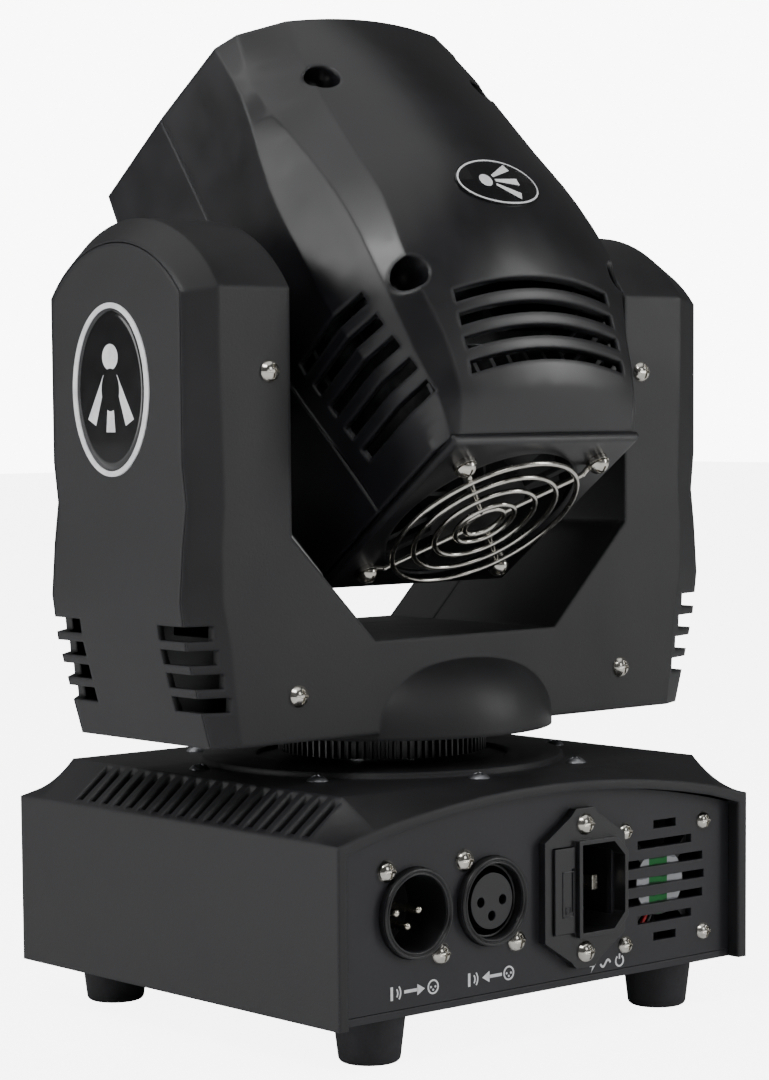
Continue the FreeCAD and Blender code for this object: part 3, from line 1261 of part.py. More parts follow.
def head_badge():
    """Shallow oval nameplate on the crown, left blank."""
    oval = Part.Face(Part.Wire(Part.Ellipse(V(0, 0, 0), 15.0, 8.2).toShape())).extrude(V(0, 0, 40))
    plate = turned(oval, -90, (1, 0, 0))
    plate = moved(plate, y=40, z=9.5)
    crown_skin = cover_block(UPPER_STATIONS, 0, 0)
    lifted = moved(crown_skin, y=0.45)
    return plate.common(lifted).cut(crown_skin)


# ---------------------------------------------------------------- assemble
def build_base():
    nodes["base_housing"] = base_housing()
    nodes["base_bottom_plate"] = bottom_plate()
    nodes["rear_panel"] = rear_panel()
    nodes["front_panel"] = front_panel()
    nodes["display_window"] = display_window()
    nodes["display_board"] = display_board()
    nodes["feet"] = group([moved(foot(), x, y) for x, y in foot_places()])
    screw = pan_screw(3.8, 2.2, 1.9, 11.5)
    case = [aimed(screw, (x, y, 5.0), (0, 0, -1)) for x, y in foot_places()]
    top = pan_screw(3.0, 1.6, 1.5, 6.0)
    case += [aimed(top, (x, y, BASE_TOP_Z), (0, 0, 1)) for x, y in top_screw_places()]
    nodes["case_screws"] = group(case)
    nodes["rigging_bush"] = tube((0, 0, FOOT_H + PLATE_T), (0, 0, 1), RIG_BOSS_R, RIG_THREAD_R, RIG_BOSS_H)
    nodes["xlr_input_shell"] = xlr_shell(XLR_IN_X, 1.6)
    nodes["xlr_output_shell"] = xlr_shell(XLR_OUT_X, 1.6)
    nodes["xlr_output_insert"] = xlr_output_insert()
    nodes["power_inlet"] = power_inlet_bored()
    pins = connector_pins()
    nodes["connector_pins"] = group(pins)
    for pin in pins[3:]:
        nodes["xlr_input_shell"] = nodes["xlr_input_shell"].cut(pin)
    nodes["fuse_drawer"] = fuse_drawer()
    nodes["fuse"] = cartridge_fuse()
    fan = aimed(fan_frame(FAN40_SIZE, FAN40_T, FAN40_PITCH, 1.8), (FAN40_X, PANEL_IN, FAN40_Z), (0, -1, 0))
    rotor = aimed(fan_rotor(FAN40_SIZE, FAN40_T, 7), (FAN40_X, PANEL_IN, FAN40_Z), (0, -1, 0))
    nodes["base_fan_frame"] = fan
    nodes["base_fan_rotor"] = rotor
    screws = screws_on(xlr_screw_places(XLR_IN_X) + xlr_screw_places(XLR_OUT_X), PANEL_OUT, 3.1, 5.0)
    screws += screws_on(inlet_screw_places(), PANEL_OUT + 2.6, 3.1, 7.0)
    screws += screws_on(fan40_screw_places(), PANEL_OUT, 2.6, 9.0)
    front = pan_screw(2.9, 2.0, 1.25, 5.0)
    screws += [aimed(front, (x, -PANEL_OUT, z), (0, -1, 0)) for x in (-66, 66) for z in (24, 54)]
    nodes["panel_screws"] = group(screws)
    for i, (x, z) in enumerate(button_places()):
        nodes["menu_button_%d" % (i + 1)] = menu_button(x, z)
    nodes["power_board"] = power_board()
    nodes["main_board"] = main_board()
    nodes["pan_motor"] = pan_motor()
    nodes["pan_pinion"] = pan_pinion()
    nodes["pan_bearing"] = pan_bearing()


def build_yoke():
    rear, front, side_right, side_left = yoke_pieces()
    nodes["yoke_rear_shell"] = rear
    nodes["yoke_front_shell"] = front
    nodes["side_panel_right"] = side_right
    nodes["side_panel_left"] = side_left
    nodes["yoke_frame"] = yoke_frame()
    nodes["arm_badges"] = group(arm_badges())
    nodes["yoke_screws"] = group(yoke_screws())
    nodes["pan_gear"] = pan_gear()
    nodes["pan_shaft"] = pan_shaft()
    nodes["tilt_bearings"] = group(tilt_bearings())
    nodes["tilt_motor"] = tilt_motor()
    nodes["tilt_pinion"] = tilt_pinion()
    nodes["tilt_belt"] = tilt_belt()
    nodes["tilt_pulley"] = tilt_pulley()


def build_head():
    fan, rotor = head_fan()
    upright = {
        "head_upper_cover": upper_cover(),
        "head_lower_cover": lower_cover(),
        "head_rear_frame": rear_frame(),
        "head_fan_frame": fan,
        "head_fan_rotor": rotor,
        "head_fan_guard": fan_guard(),
        "head_screws": group(head_screws()),
        "front_bezel": front_bezel(),
        "focus_barrel": focus_barrel(),
        "front_lens": front_lens(),
        "optics_bracket": optics_bracket(),
        "wheel_motors": group(wheel_motors()),
        "gobo_wheel": wheel(1, GOBO_Z, 8, 4.6),
        "colour_wheel": wheel(-1, COLOUR_Z, 8, 4.9),
        "heat_sink": heat_sink(),
        "led_module": led_module(),
        "tilt_shafts": group(tilt_shafts()),
        "head_badge": head_badge(),
    }
    for name, shape in upright.items():
        nodes[name] = into_rest(shape)


build_base()
build_yoke()
build_head()
for name, shape in nodes.items():
    shape.exportStep("parts/%s.step" % name)
    print(name, shape.ShapeType, len(shape.Solids), shape.isValid(), round(shape.Volume, 1))
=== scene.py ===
"""A compact moving head light on a plain pale floor: finishes for every CAD piece, and the small fittings
that sit on them: badge inlays, port marks, connector trims, fan label and leads, display and button marks.
Metres, +Z up, the connector panel faces +Y. Sizes below are written in millimetres and scaled by MM.
"""
import bpy
import bmesh
import math
import numpy as np
from mathutils import Matrix, Vector


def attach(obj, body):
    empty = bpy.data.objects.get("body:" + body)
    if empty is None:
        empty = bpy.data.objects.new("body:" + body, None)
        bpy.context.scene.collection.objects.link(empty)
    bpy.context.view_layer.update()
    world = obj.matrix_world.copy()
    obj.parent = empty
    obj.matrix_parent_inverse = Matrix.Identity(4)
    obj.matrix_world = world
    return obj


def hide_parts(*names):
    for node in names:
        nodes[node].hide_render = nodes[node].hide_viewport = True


MM = 0.001
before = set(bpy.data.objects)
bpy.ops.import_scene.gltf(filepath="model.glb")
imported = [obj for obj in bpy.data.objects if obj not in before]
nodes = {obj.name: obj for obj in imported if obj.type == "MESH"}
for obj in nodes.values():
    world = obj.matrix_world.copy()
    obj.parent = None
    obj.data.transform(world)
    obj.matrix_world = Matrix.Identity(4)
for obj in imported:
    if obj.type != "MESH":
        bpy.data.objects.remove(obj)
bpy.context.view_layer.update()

# ---------------------------------------------------------------- the light's own sizes, mm and degrees
TILT_Z = 184.0
HEAD_REST_TILT = math.radians(36.4)
OPTIC_Y = 9.1
PANEL_Y = 67.0
FRONT_Y = -67.0
CONNECTOR_Z = 39.9
SIGNAL_IN_X = 48.0
SIGNAL_OUT_X = 20.4
DRAWER_X = -4.4
FAN_X = -47.35
FAN_Z = 37.4
BADGE_Y = 2.2
BADGE_Z = 177.2
YOKE_OUTER = 96.0
HEAD_BADGE_Z = 9.5          # along the beam from the tilt axis
HEAD_BADGE_PROUD = 0.45
CROWN_Y = 69.31
CROWN_FALL = 0.0345
CROWN_ARCH = 0.00637
CROWN_ROUND = 0.00577
DISPLAY_X = -22.0
DISPLAY_Z = 41.0
BUTTON_X0 = 16.0
BUTTON_PITCH = 13.5
PORT_MARK_Z = 19.4          # middle of the marks under the signal connectors
POWER_MARK_Z = 17.2
POWER_MARK_X = -24.0
INLAY_TALL = 21.45          # half height of the badge inlay inside its ring
INLAY_WIDE = 14.95
DISPLAY_Y = -62.5           # face of the digits behind the display window
FRAME_LINE_X = 26.2         # half width and half height of the line round the display
FRAME_LINE_Z = 13.2
FRAME_LINE = 0.5
PRINT = 0.08                # thickness of a screen-printed layer
EMBOSS = 0.18


# ---------------------------------------------------------------- meshes from arrays
def mesh_object(name, vertices, faces, body, smooth=True):
    """An object whose place is in its mesh, from an array of points in millimetres and a list of faces."""
    mesh = bpy.data.meshes.new(name)
    mesh.from_pydata((np.asarray(vertices, float) * MM).tolist(), [], [list(map(int, f)) for f in faces])
    mesh.validate()
    mesh.polygons.foreach_set("use_smooth", np.full(len(mesh.polygons), smooth))
    obj = bpy.data.objects.new(name, mesh)
    bpy.context.scene.collection.objects.link(obj)
    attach(obj, body)
    return obj


def grid_faces(rows, columns, wrap_rows=False, wrap_columns=False):
    """Quads between neighbours of a rows by columns grid of points, closed round where asked."""
    r = np.arange(rows if wrap_rows else rows - 1)
    c = np.arange(columns if wrap_columns else columns - 1)
    r0, c0 = np.meshgrid(r, c, indexing="ij")
    r1, c1 = (r0 + 1) % rows, (c0 + 1) % columns
    quads = np.stack([r0 * columns + c0, r0 * columns + c1, r1 * columns + c1, r1 * columns + c0], -1)
    return quads.reshape(-1, 4).tolist()


def turned(profile, centre, axis, across, count=64):
    """A ring turned about an axis: each profile point (r, h) becomes
    centre + h axis + r (cos a across + sin a (axis x across)), with a from 0 to a full turn."""
    profile = np.asarray(profile, float)
    axis, across = np.asarray(axis, float), np.asarray(across, float)
    other = np.cross(axis, across)
    a = np.linspace(0, 2 * np.pi, count, endpoint=False)
    ring = np.cos(a)[:, None] * across + np.sin(a)[:, None] * other
    r, h = profile[None, :, 0, None], profile[None, :, 1, None]
    points = np.asarray(centre, float) + h * axis + r * ring[:, None]
    return points.reshape(-1, 3), grid_faces(count, len(profile), wrap_rows=True, wrap_columns=True)


def slab(outline, thickness, place):
    """A flat piece with straight edges: the outline (x, y) at heights 0 and thickness, both ends capped by
    one face. place turns (x, y, h) rows into the object's frame."""
    outline = np.asarray(outline, float)
    n = len(outline)
    low = np.column_stack([outline, np.zeros(n)])
    high = np.column_stack([outline, np.full(n, thickness)])
    side = [[i, (i + 1) % n, n + (i + 1) % n, n + i] for i in range(n)]
    return place(np.vstack([low, high])), side + [list(range(n))[::-1], list(range(n, 2 * n))]


def join(parts):
    """Several (points, faces) pairs as one."""
    points, faces, start = [], [], 0
    for p, f in parts:
        points.append(np.asarray(p, float))
        faces += [[i + start for i in face] for face in f]
        start += len(p)
    return np.vstack(points), faces


def oval(rx, ry, count=72):
    """Points (rx cos a, ry sin a) round an ellipse."""
    a = np.linspace(0, 2 * np.pi, count, endpoint=False)
    return np.column_stack([rx * np.cos(a), ry * np.sin(a)])


def dome(rx, ry, edge, rise, place, rings=10, count=72):
    """A shallow closed oval cushion: at share s of the way out, the point (s rx cos a, s ry sin a) has the
    height edge + rise (1 - s^2), and a flat oval closes it at height 0."""
    s = np.linspace(1, 0.02, rings)
    a = np.linspace(0, 2 * np.pi, count, endpoint=False)
    x = (s[:, None] * rx * np.cos(a)).ravel()
    y = (s[:, None] * ry * np.sin(a)).ravel()
    h = np.repeat(edge + rise * (1 - s ** 2), count)
    base = np.column_stack([oval(rx, ry, count), np.zeros(count)])
    points = np.vstack([base, np.column_stack([x, y, h])])
    faces = grid_faces(rings + 1, count, wrap_columns=True)
    top = rings * count
    faces += [list(range(count))[::-1], list(range(top, top + count))]
    return place(points), faces


def tube_along(path, r, sides=12):
    """A round tube: at each path point a circle of radius r square to the path, its two ends capped. The
    path is a smooth curve through the given points, a cubic that passes each with the neighbours' slope."""
    p = np.asarray(path, float)
    t = np.linspace(0, len(p) - 1, 12 * (len(p) - 1) + 1)
    i = np.minimum(t.astype(int), len(p) - 2)
    u = (t - i)[:, None]
    slope = np.gradient(p, axis=0)
    a, b, ma, mb = p[i], p[i + 1], slope[i], slope[i + 1]
    line = ((2 * u ** 3 - 3 * u ** 2 + 1) * a + (u ** 3 - 2 * u ** 2 + u) * ma
            + (3 * u ** 2 - 2 * u ** 3) * b + (u ** 3 - u ** 2) * mb)
    along = np.gradient(line, axis=0)
    along /= np.linalg.norm(along, axis=1)[:, None]
    side = np.cross(along, [0.31, 0.52, 0.79])
    side /= np.linalg.norm(side, axis=1)[:, None]
    other = np.cross(along, side)
    q = np.linspace(0, 2 * np.pi, sides, endpoint=False)
    ring = np.cos(q)[None, :, None] * side[:, None] + np.sin(q)[None, :, None] * other[:, None]
    points = (line[:, None] + r * ring).reshape(-1, 3)
    n = len(line)
    faces = grid_faces(n, sides, wrap_columns=True)
    faces += [list(range(sides)), list(range((n - 1) * sides, n * sides))[::-1]]
    return points, faces


# ---------------------------------------------------------------- places
def head_place(points):
    """Rows (x, y, z) of the upright head, turned back about the tilt axis and lifted to it."""
    c, s = math.cos(HEAD_REST_TILT), math.sin(HEAD_REST_TILT)
    x, y, z = np.asarray(points, float).T
    return np.column_stack([x, y * c - z * s, TILT_Z + y * s + z * c])


def on_rear(x, z, lift=0.0):
    """Flat drawings on the connector panel, read from behind the light: right is -X, up is +Z."""
    return lambda p: np.column_stack([x - p[:, 0], PANEL_Y + lift + p[:, 2], z + p[:, 1]])


def on_front(x, z, y):
    """Flat drawings on the menu panel: right is +X, up is +Z, out is -Y."""
    return lambda p: np.column_stack([x + p[:, 0], y - p[:, 2], z + p[:, 1]])


def on_arm(side):
    """Flat drawings on an arm's outer face, read lying down: x runs down the arm, out is the arm's side."""
    return lambda p: np.column_stack([side * (YOKE_OUTER + p[:, 2]), BADGE_Y + side * p[:, 1],
                                      BADGE_Z - p[:, 0]])


# ---------------------------------------------------------------- materials
def shade(code):
    """An sRGB hex colour as the linear values a shader takes."""
    parts = [int(code[i:i + 2], 16) / 255 for i in (1, 3, 5)]
    linear = [v / 12.92 if v <= 0.04045 else ((v + 0.055) / 1.055) ** 2.4 for v in parts]
    return (*linear, 1.0)


def add(tree, kind, values=None, links=None, **settings):
    """Adds a node, sets its properties and sockets, and links sockets to it by name or number."""
    node = tree.nodes.new("ShaderNode" + kind)
    for key, value in settings.items():
        setattr(node, key, value)
    for key, value in (values or {}).items():
        node.inputs[key].default_value = value
    for key, source in (links or {}).items():
        tree.links.new(source, node.inputs[key])
    return node


def finish(name, **values):
    """A material with its shader set to constant values, and the two sockets most patterns start from."""
    material = bpy.data.materials.new(name)
    material.use_nodes = True
    tree = material.node_tree
    tree.nodes.clear()
    out = add(tree, "OutputMaterial")
    shader = add(tree, "BsdfPrincipled", values=values)
    tree.links.new(shader.outputs[0], out.inputs[0])
    place = add(tree, "TexCoord").outputs["Object"]
    return material, tree, shader, place


def ramp(tree, source, low, high, at=(0.0, 1.0)):
    """A colour ramp from one hex colour to another between two positions."""
    node = add(tree, "ValToRGB", links={"Fac": source})
    node.color_ramp.elements[0].position, node.color_ramp.elements[1].position = at
    node.color_ramp.elements[0].color, node.color_ramp.elements[1].color = shade(low), shade(high)
    return node.outputs["Color"]


def spread(tree, source, low, high, at=(0.0, 1.0)):
    """A number that runs from low to high while source runs between two positions."""
    return add(tree, "MapRange", links={0: source}, values={1: at[0], 2: at[1], 3: low, 4: high}).outputs[0]


def noise(tree, place, size_mm, detail=2.0, rough=0.5):
    """Cloudy noise whose blobs are about size_mm across."""
    return add(tree, "TexNoise", links={"Vector": place},
               values={"Scale": 1000.0 / size_mm, "Detail": detail, "Roughness": rough}).outputs["Fac"]


def rounded(tree, radius_mm):
    """The surface direction with its edges eased over a small radius, as a mould or a file leaves them."""
    return add(tree, "Bevel", values={"Radius": radius_mm * MM}, samples=4).outputs["Normal"]


def edge_wear_and_sheen(tree, soft):
    """Rises from 0 on flats to 1 on edges: how far the eased direction leans from the true one. It lightens
    edges, partly as wear and partly as a painted highlight.
    """
    true = add(tree, "NewGeometry").outputs["Normal"]
    dot = add(tree, "VectorMath", links={0: soft, 1: true}, operation="DOT_PRODUCT").outputs["Value"]
    return spread(tree, dot, 1.0, 0.0, (0.80, 0.985))


def stretched(tree, place, factors):
    """The place with each axis multiplied, so that a pattern is drawn out along the smallest factor."""
    return add(tree, "Mapping", links={0: place}, values={3: factors}).outputs[0]


def relief(tree, height, depth_mm, soft=None):
    """Bump of a real depth on top of the eased edges."""
    links = {"Height": height}
    if soft is not None:
        links["Normal"] = soft
    return add(tree, "Bump", values={"Strength": 1.0, "Distance": depth_mm * MM}, links=links).outputs[0]


def grained_abs():
    """ABS moulded against a spark-eroded cavity: flat black with a fine even grain that breaks up the
    shine, its edges painted lighter, partly as wear where hands and cases rub them and partly as a painted
    highlight. Grain is 0.3 mm, drawn at 0.55 mm to show, and edges are eased over 1.6 mm so that they catch
    a soft line of light."""
    m, t, s, place = finish("grained_moulded_abs", **{"IOR": 1.50})
    soft = rounded(t, 1.6)
    wear_and_sheen = edge_wear_and_sheen(t, soft)
    grain = noise(t, place, 0.55, 3.0, 0.6)
    clouds = noise(t, place, 24.0, 3.0, 0.55)
    base = ramp(t, clouds, "#0f0f12", "#161619", (0.35, 0.65))
    # Lighter edges: partly rubbing wear, partly a painted highlight along every edge.
    worn_and_highlit = add(t, "MixRGB", links={0: wear_and_sheen, 1: base}, values={2: shade("#232327")}).outputs[0]
    t.links.new(worn_and_highlit, s.inputs["Base Color"])
    broad, fine = spread(t, clouds, 0.44, 0.54, (0.3, 0.7)), spread(t, grain, -0.05, 0.06)
    rough = add(t, "Math", links={0: broad, 1: fine}, operation="ADD").outputs[0]
    t.links.new(rough, s.inputs["Roughness"])
    t.links.new(relief(t, grain, 0.035, soft), s.inputs["Normal"])
    return m


def satin_abs():
    """ABS from a finely polished mould: deep black with broad soft reflections, faint flow marks 18 mm long
    and a trace of dust. The mould's finish leaves a 0.9 mm ripple too shallow to see as relief."""
    m, t, s, place = finish("satin_moulded_abs", **{"IOR": 1.52, "Coat Weight": 0.12,
                                                    "Coat Roughness": 0.22})
    soft = rounded(t, 1.6)
    wear_and_sheen = edge_wear_and_sheen(t, soft)
    flow = noise(t, place, 18.0, 4.0, 0.6)
    ripple = noise(t, place, 0.9, 2.0, 0.5)
    base = ramp(t, flow, "#0d0d10", "#131317", (0.35, 0.65))
    # Lighter edges: partly rubbing wear, partly a painted highlight along every edge.
    worn_and_highlit = add(t, "MixRGB", links={0: wear_and_sheen, 1: base}, values={2: shade("#222226")}).outputs[0]
    t.links.new(worn_and_highlit, s.inputs["Base Color"])
    t.links.new(spread(t, flow, 0.30, 0.38, (0.3, 0.7)), s.inputs["Roughness"])
    t.links.new(relief(t, ripple, 0.006, soft), s.inputs["Normal"])
    return m


def powder_coat():
    """Powder coated sheet steel: baked black with the orange peel of melted powder, 1.1 mm from crest to
    crest, and edges painted lighter, partly where the coat runs thin and partly as a painted highlight."""
    m, t, s, place = finish("powder_coated_steel", **{"IOR": 1.5})
    soft = rounded(t, 0.35)
    wear_and_sheen = edge_wear_and_sheen(t, soft)
    peel = noise(t, place, 1.1, 2.0, 0.45)
    clouds = noise(t, place, 30.0, 2.0, 0.5)
    base = ramp(t, clouds, "#17171b", "#1d1d22", (0.3, 0.7))
    # Lighter edges: partly thin coat, partly a painted highlight along every edge.
    worn_and_highlit = add(t, "MixRGB", links={0: wear_and_sheen, 1: base}, values={2: shade("#303036")}).outputs[0]
    t.links.new(worn_and_highlit, s.inputs["Base Color"])
    t.links.new(spread(t, peel, 0.42, 0.56), s.inputs["Roughness"])
    t.links.new(relief(t, peel, 0.02, soft), s.inputs["Normal"])
    return m


def polished_insulator():
    """Glass-filled nylon of the connectors: smooth black with a dull gloss and hairline flow swirls."""
    m, t, s, place = finish("connector_nylon", **{"IOR": 1.53})
    soft = rounded(t, 0.3)
    wear_and_sheen = edge_wear_and_sheen(t, soft)
    swirl = add(t, "TexNoise", links={"Vector": place},
                values={"Scale": 160.0, "Detail": 4.0, "Distortion": 1.6}).outputs["Fac"]
    base = ramp(t, swirl, "#121214", "#19191c", (0.35, 0.65))
    # Lighter edges: partly wear, partly a painted highlight along every edge.
    worn_and_highlit = add(t, "MixRGB", links={0: wear_and_sheen, 1: base}, values={2: shade("#333338")}).outputs[0]
    t.links.new(worn_and_highlit, s.inputs["Base Color"])
    t.links.new(spread(t, swirl, 0.30, 0.44, (0.3, 0.7)), s.inputs["Roughness"])
    t.links.new(relief(t, swirl, 0.01, soft), s.inputs["Normal"])
    return m


def fan_pbt():
    """PBT of a small axial fan: matt black, moulded, with dust caught in its fine grain."""
    m, t, s, place = finish("fan_pbt", **{"IOR": 1.55})
    soft = rounded(t, 0.4)
    dust = noise(t, place, 5.0, 4.0, 0.65)
    grain = noise(t, place, 0.6, 2.0, 0.5)
    t.links.new(ramp(t, dust, "#0e0e10", "#1d1d1f", (0.45, 0.8)), s.inputs["Base Color"])
    t.links.new(spread(t, grain, 0.5, 0.68), s.inputs["Roughness"])
    t.links.new(relief(t, grain, 0.02, soft), s.inputs["Normal"])
    return m


def foot_rubber():
    """Carbon-filled rubber: very matt, with a dusty bloom and a coarse 0.8 mm mould grain."""
    m, t, s, place = finish("foot_rubber", **{"IOR": 1.52})
    soft = rounded(t, 0.6)
    bloom = noise(t, place, 9.0, 4.0, 0.6)
    grain = noise(t, place, 0.8, 3.0, 0.6)
    t.links.new(ramp(t, bloom, "#17171a", "#232327", (0.35, 0.7)), s.inputs["Base Color"])
    t.links.new(spread(t, grain, 0.66, 0.84), s.inputs["Roughness"])
    t.links.new(relief(t, grain, 0.04, soft), s.inputs["Normal"])
    return m


def bright_nickel():
    """Nickel plated steel: mirror-like with a warm cast, hairline polishing marks and a dull film in
    places."""
    m, t, s, place = finish("bright_nickel_steel", **{"Metallic": 1.0})
    soft = rounded(t, 0.15)
    film = noise(t, place, 3.0, 4.0, 0.6)
    marks = add(t, "TexNoise", links={"Vector": stretched(t, place, (1.0, 14.0, 14.0))},
                values={"Scale": 260.0, "Detail": 2.0}).outputs["Fac"]
    t.links.new(ramp(t, film, "#b9b6ae", "#dedbd4", (0.3, 0.7)), s.inputs["Base Color"])
    t.links.new(spread(t, film, 0.12, 0.30, (0.3, 0.75)), s.inputs["Roughness"])
    t.links.new(relief(t, marks, 0.003, soft), s.inputs["Normal"])
    return m


def zinc_plate():
    """Zinc plated steel: blue-grey, crystalline patches 4 mm across, semi-dull."""
    m, t, s, place = finish("zinc_plated_steel", **{"Metallic": 1.0})
    soft = rounded(t, 0.25)
    cells = add(t, "TexVoronoi", links={"Vector": place}, values={"Scale": 250.0}).outputs["Color"]
    grain = noise(t, place, 1.2, 3.0, 0.6)
    grey = add(t, "RGBToBW", links={0: cells}).outputs[0]
    t.links.new(ramp(t, grey, "#85878b", "#b2b4b7"), s.inputs["Base Color"])
    t.links.new(spread(t, grain, 0.28, 0.5), s.inputs["Roughness"])
    t.links.new(relief(t, grain, 0.006, soft), s.inputs["Normal"])
    return m


def turned_aluminium():
    """Turned or extruded aluminium: pale grey with fine tool lines 0.35 mm apart and light oxidation."""
    m, t, s, place = finish("turned_aluminium", **{"Metallic": 1.0})
    soft = rounded(t, 0.2)
    lines = add(t, "TexWave", links={"Vector": place}, values={"Scale": 140.0, "Distortion": 1.2,
                "Detail": 2.0},
                wave_type="BANDS", bands_direction="DIAGONAL").outputs["Fac"]
    bloom = noise(t, place, 7.0, 3.0, 0.55)
    t.links.new(ramp(t, bloom, "#9fa1a4", "#c9cacc", (0.3, 0.7)), s.inputs["Base Color"])
    t.links.new(spread(t, bloom, 0.26, 0.42), s.inputs["Roughness"])
    t.links.new(relief(t, lines, 0.004, soft), s.inputs["Normal"])
    return m


def tinned_contact():
    """Nickel over brass: pale warm metal of plug pins, bright at the rubbed tips."""
    m, t, s, place = finish("plated_contact_pins", **{"Metallic": 1.0})
    film = noise(t, place, 1.6, 3.0, 0.6)
    t.links.new(ramp(t, film, "#cfc8b6", "#f0ece0", (0.3, 0.7)), s.inputs["Base Color"])
    t.links.new(spread(t, film, 0.14, 0.34), s.inputs["Roughness"])
    t.links.new(relief(t, film, 0.004, rounded(t, 0.2)), s.inputs["Normal"])
    return m


def gear_nylon():
    """Molybdenum-filled nylon of gears and bushes: charcoal, slightly waxy, with a film of grease."""
    m, t, s, place = finish("gear_nylon", **{"IOR": 1.53, "Coat Weight": 0.25, "Coat Roughness": 0.18})
    soft = rounded(t, 0.15)
    grease = noise(t, place, 4.0, 4.0, 0.6)
    t.links.new(ramp(t, grease, "#1a1a1d", "#2c2c30", (0.35, 0.7)), s.inputs["Base Color"])
    t.links.new(spread(t, grease, 0.24, 0.5, (0.3, 0.7)), s.inputs["Roughness"])
    t.links.new(relief(t, grease, 0.01, soft), s.inputs["Normal"])
    return m


def solder_mask():
    """Glass epoxy circuit board: green lacquer over copper tracks 1.6 mm apart, with paler pads."""
    m, t, s, place = finish("circuit_board", **{"IOR": 1.55, "Coat Weight": 0.4, "Coat Roughness": 0.1})
    tracks = add(t, "TexBrick", links={"Vector": place}, offset=0.5,
                 values={"Scale": 320.0, "Mortar Size": 0.06, "Color1": shade("#0d4526"),
                         "Color2": shade("#12572f"), "Mortar": shade("#2c8250")})
    speckle = noise(t, place, 0.7, 2.0, 0.5)
    t.links.new(tracks.outputs["Color"], s.inputs["Base Color"])
    t.links.new(spread(t, speckle, 0.25, 0.45), s.inputs["Roughness"])
    t.links.new(relief(t, tracks.outputs["Fac"], 0.02), s.inputs["Normal"])
    return m


def smoked_acrylic():
    """Smoked cast acrylic of the display window: glossy, nearly black, with the faint haze of fine wiping
    scratches."""
    m, t, s, place = finish("smoked_acrylic", **{"IOR": 1.49, "Transmission Weight": 0.55})
    wiped = add(t, "TexNoise", links={"Vector": stretched(t, place, (1.0, 1.0, 22.0))},
                values={"Scale": 120.0, "Detail": 3.0}).outputs["Fac"]
    t.links.new(ramp(t, wiped, "#26272c", "#303238", (0.3, 0.7)), s.inputs["Base Color"])
    t.links.new(spread(t, wiped, 0.03, 0.11), s.inputs["Roughness"])
    t.links.new(relief(t, wiped, 0.002), s.inputs["Normal"])
    return m


def coated_glass():
    """Optical glass with an anti-reflection coat: clear, its reflections tinted by the coat, and a few
    specks of dust 0.4 mm across."""
    m, t, s, place = finish("coated_glass", **{"IOR": 1.52, "Transmission Weight": 0.92,
                                               "Specular Tint": shade("#9aa8ff")})
    dust = noise(t, place, 0.4, 2.0, 0.5)
    specks = spread(t, dust, 0.0, 1.0, (0.72, 0.78))
    t.links.new(ramp(t, specks, "#f4f7fa", "#c9c9c6"), s.inputs["Base Color"])
    t.links.new(spread(t, specks, 0.02, 0.5), s.inputs["Roughness"])
    return m


def dichroic_filters():
    """Dichroic filter glass in eight sectors round the wheel, each a pure colour."""
    m, t, s, place = finish("dichroic_filters", **{"IOR": 1.52, "Transmission Weight": 0.45,
                                                   "Metallic": 0.25})
    c, k = math.cos(HEAD_REST_TILT), math.sin(HEAD_REST_TILT)
    y, z = OPTIC_Y - 18.0, 21.8
    centre = (0.0, (y * c - z * k) * MM, (TILT_Z + y * k + z * c) * MM)
    local = add(t, "Mapping", links={0: place}, values={1: centre, 2: (HEAD_REST_TILT, 0, 0)},
                vector_type="TEXTURE").outputs[0]
    turn = add(t, "TexGradient", links={0: local}, gradient_type="RADIAL").outputs["Fac"]
    bands = add(t, "ValToRGB", links={"Fac": turn})
    bands.color_ramp.interpolation = "CONSTANT"
    colours = ["#e8e6e0", "#c8202a", "#e0701c", "#e3c51f", "#23954a", "#1f9fc4", "#2346b8", "#b3268f"]
    elements = bands.color_ramp.elements
    while len(elements) < len(colours):
        elements.new(0.5)
    for i, colour in enumerate(colours):
        elements[i].position = i / len(colours)
        elements[i].color = shade(colour)
    t.links.new(bands.outputs["Color"], s.inputs["Base Color"])
    haze = noise(t, place, 2.0, 3.0, 0.5)
    t.links.new(spread(t, haze, 0.05, 0.16), s.inputs["Roughness"])
    return m


def screen_print():
    """White screen-printing ink: dense and slightly rough, with pinholes of the mesh 0.35 mm apart."""
    m, t, s, place = finish("white_screen_print", **{"IOR": 1.48})
    mesh = noise(t, place, 0.35, 2.0, 0.5)
    thin = noise(t, place, 6.0, 3.0, 0.6)
    t.links.new(ramp(t, thin, "#d6d6da", "#f0f0f2", (0.3, 0.6)), s.inputs["Base Color"])
    t.links.new(spread(t, mesh, 0.35, 0.6), s.inputs["Roughness"])
    t.links.new(relief(t, mesh, 0.01), s.inputs["Normal"])
    return m


def gloss_label():
    """Domed black resin of the badges: wet-looking, with slow ripples 6 mm long from pouring."""
    m, t, s, place = finish("gloss_badge_resin", **{"IOR": 1.5, "Coat Weight": 0.5, "Coat Roughness": 0.05})
    ripple = noise(t, place, 6.0, 2.0, 0.5)
    t.links.new(ramp(t, ripple, "#08080a", "#0e0e11", (0.3, 0.7)), s.inputs["Base Color"])
    t.links.new(spread(t, ripple, 0.14, 0.24), s.inputs["Roughness"])
    t.links.new(relief(t, ripple, 0.02), s.inputs["Normal"])
    return m


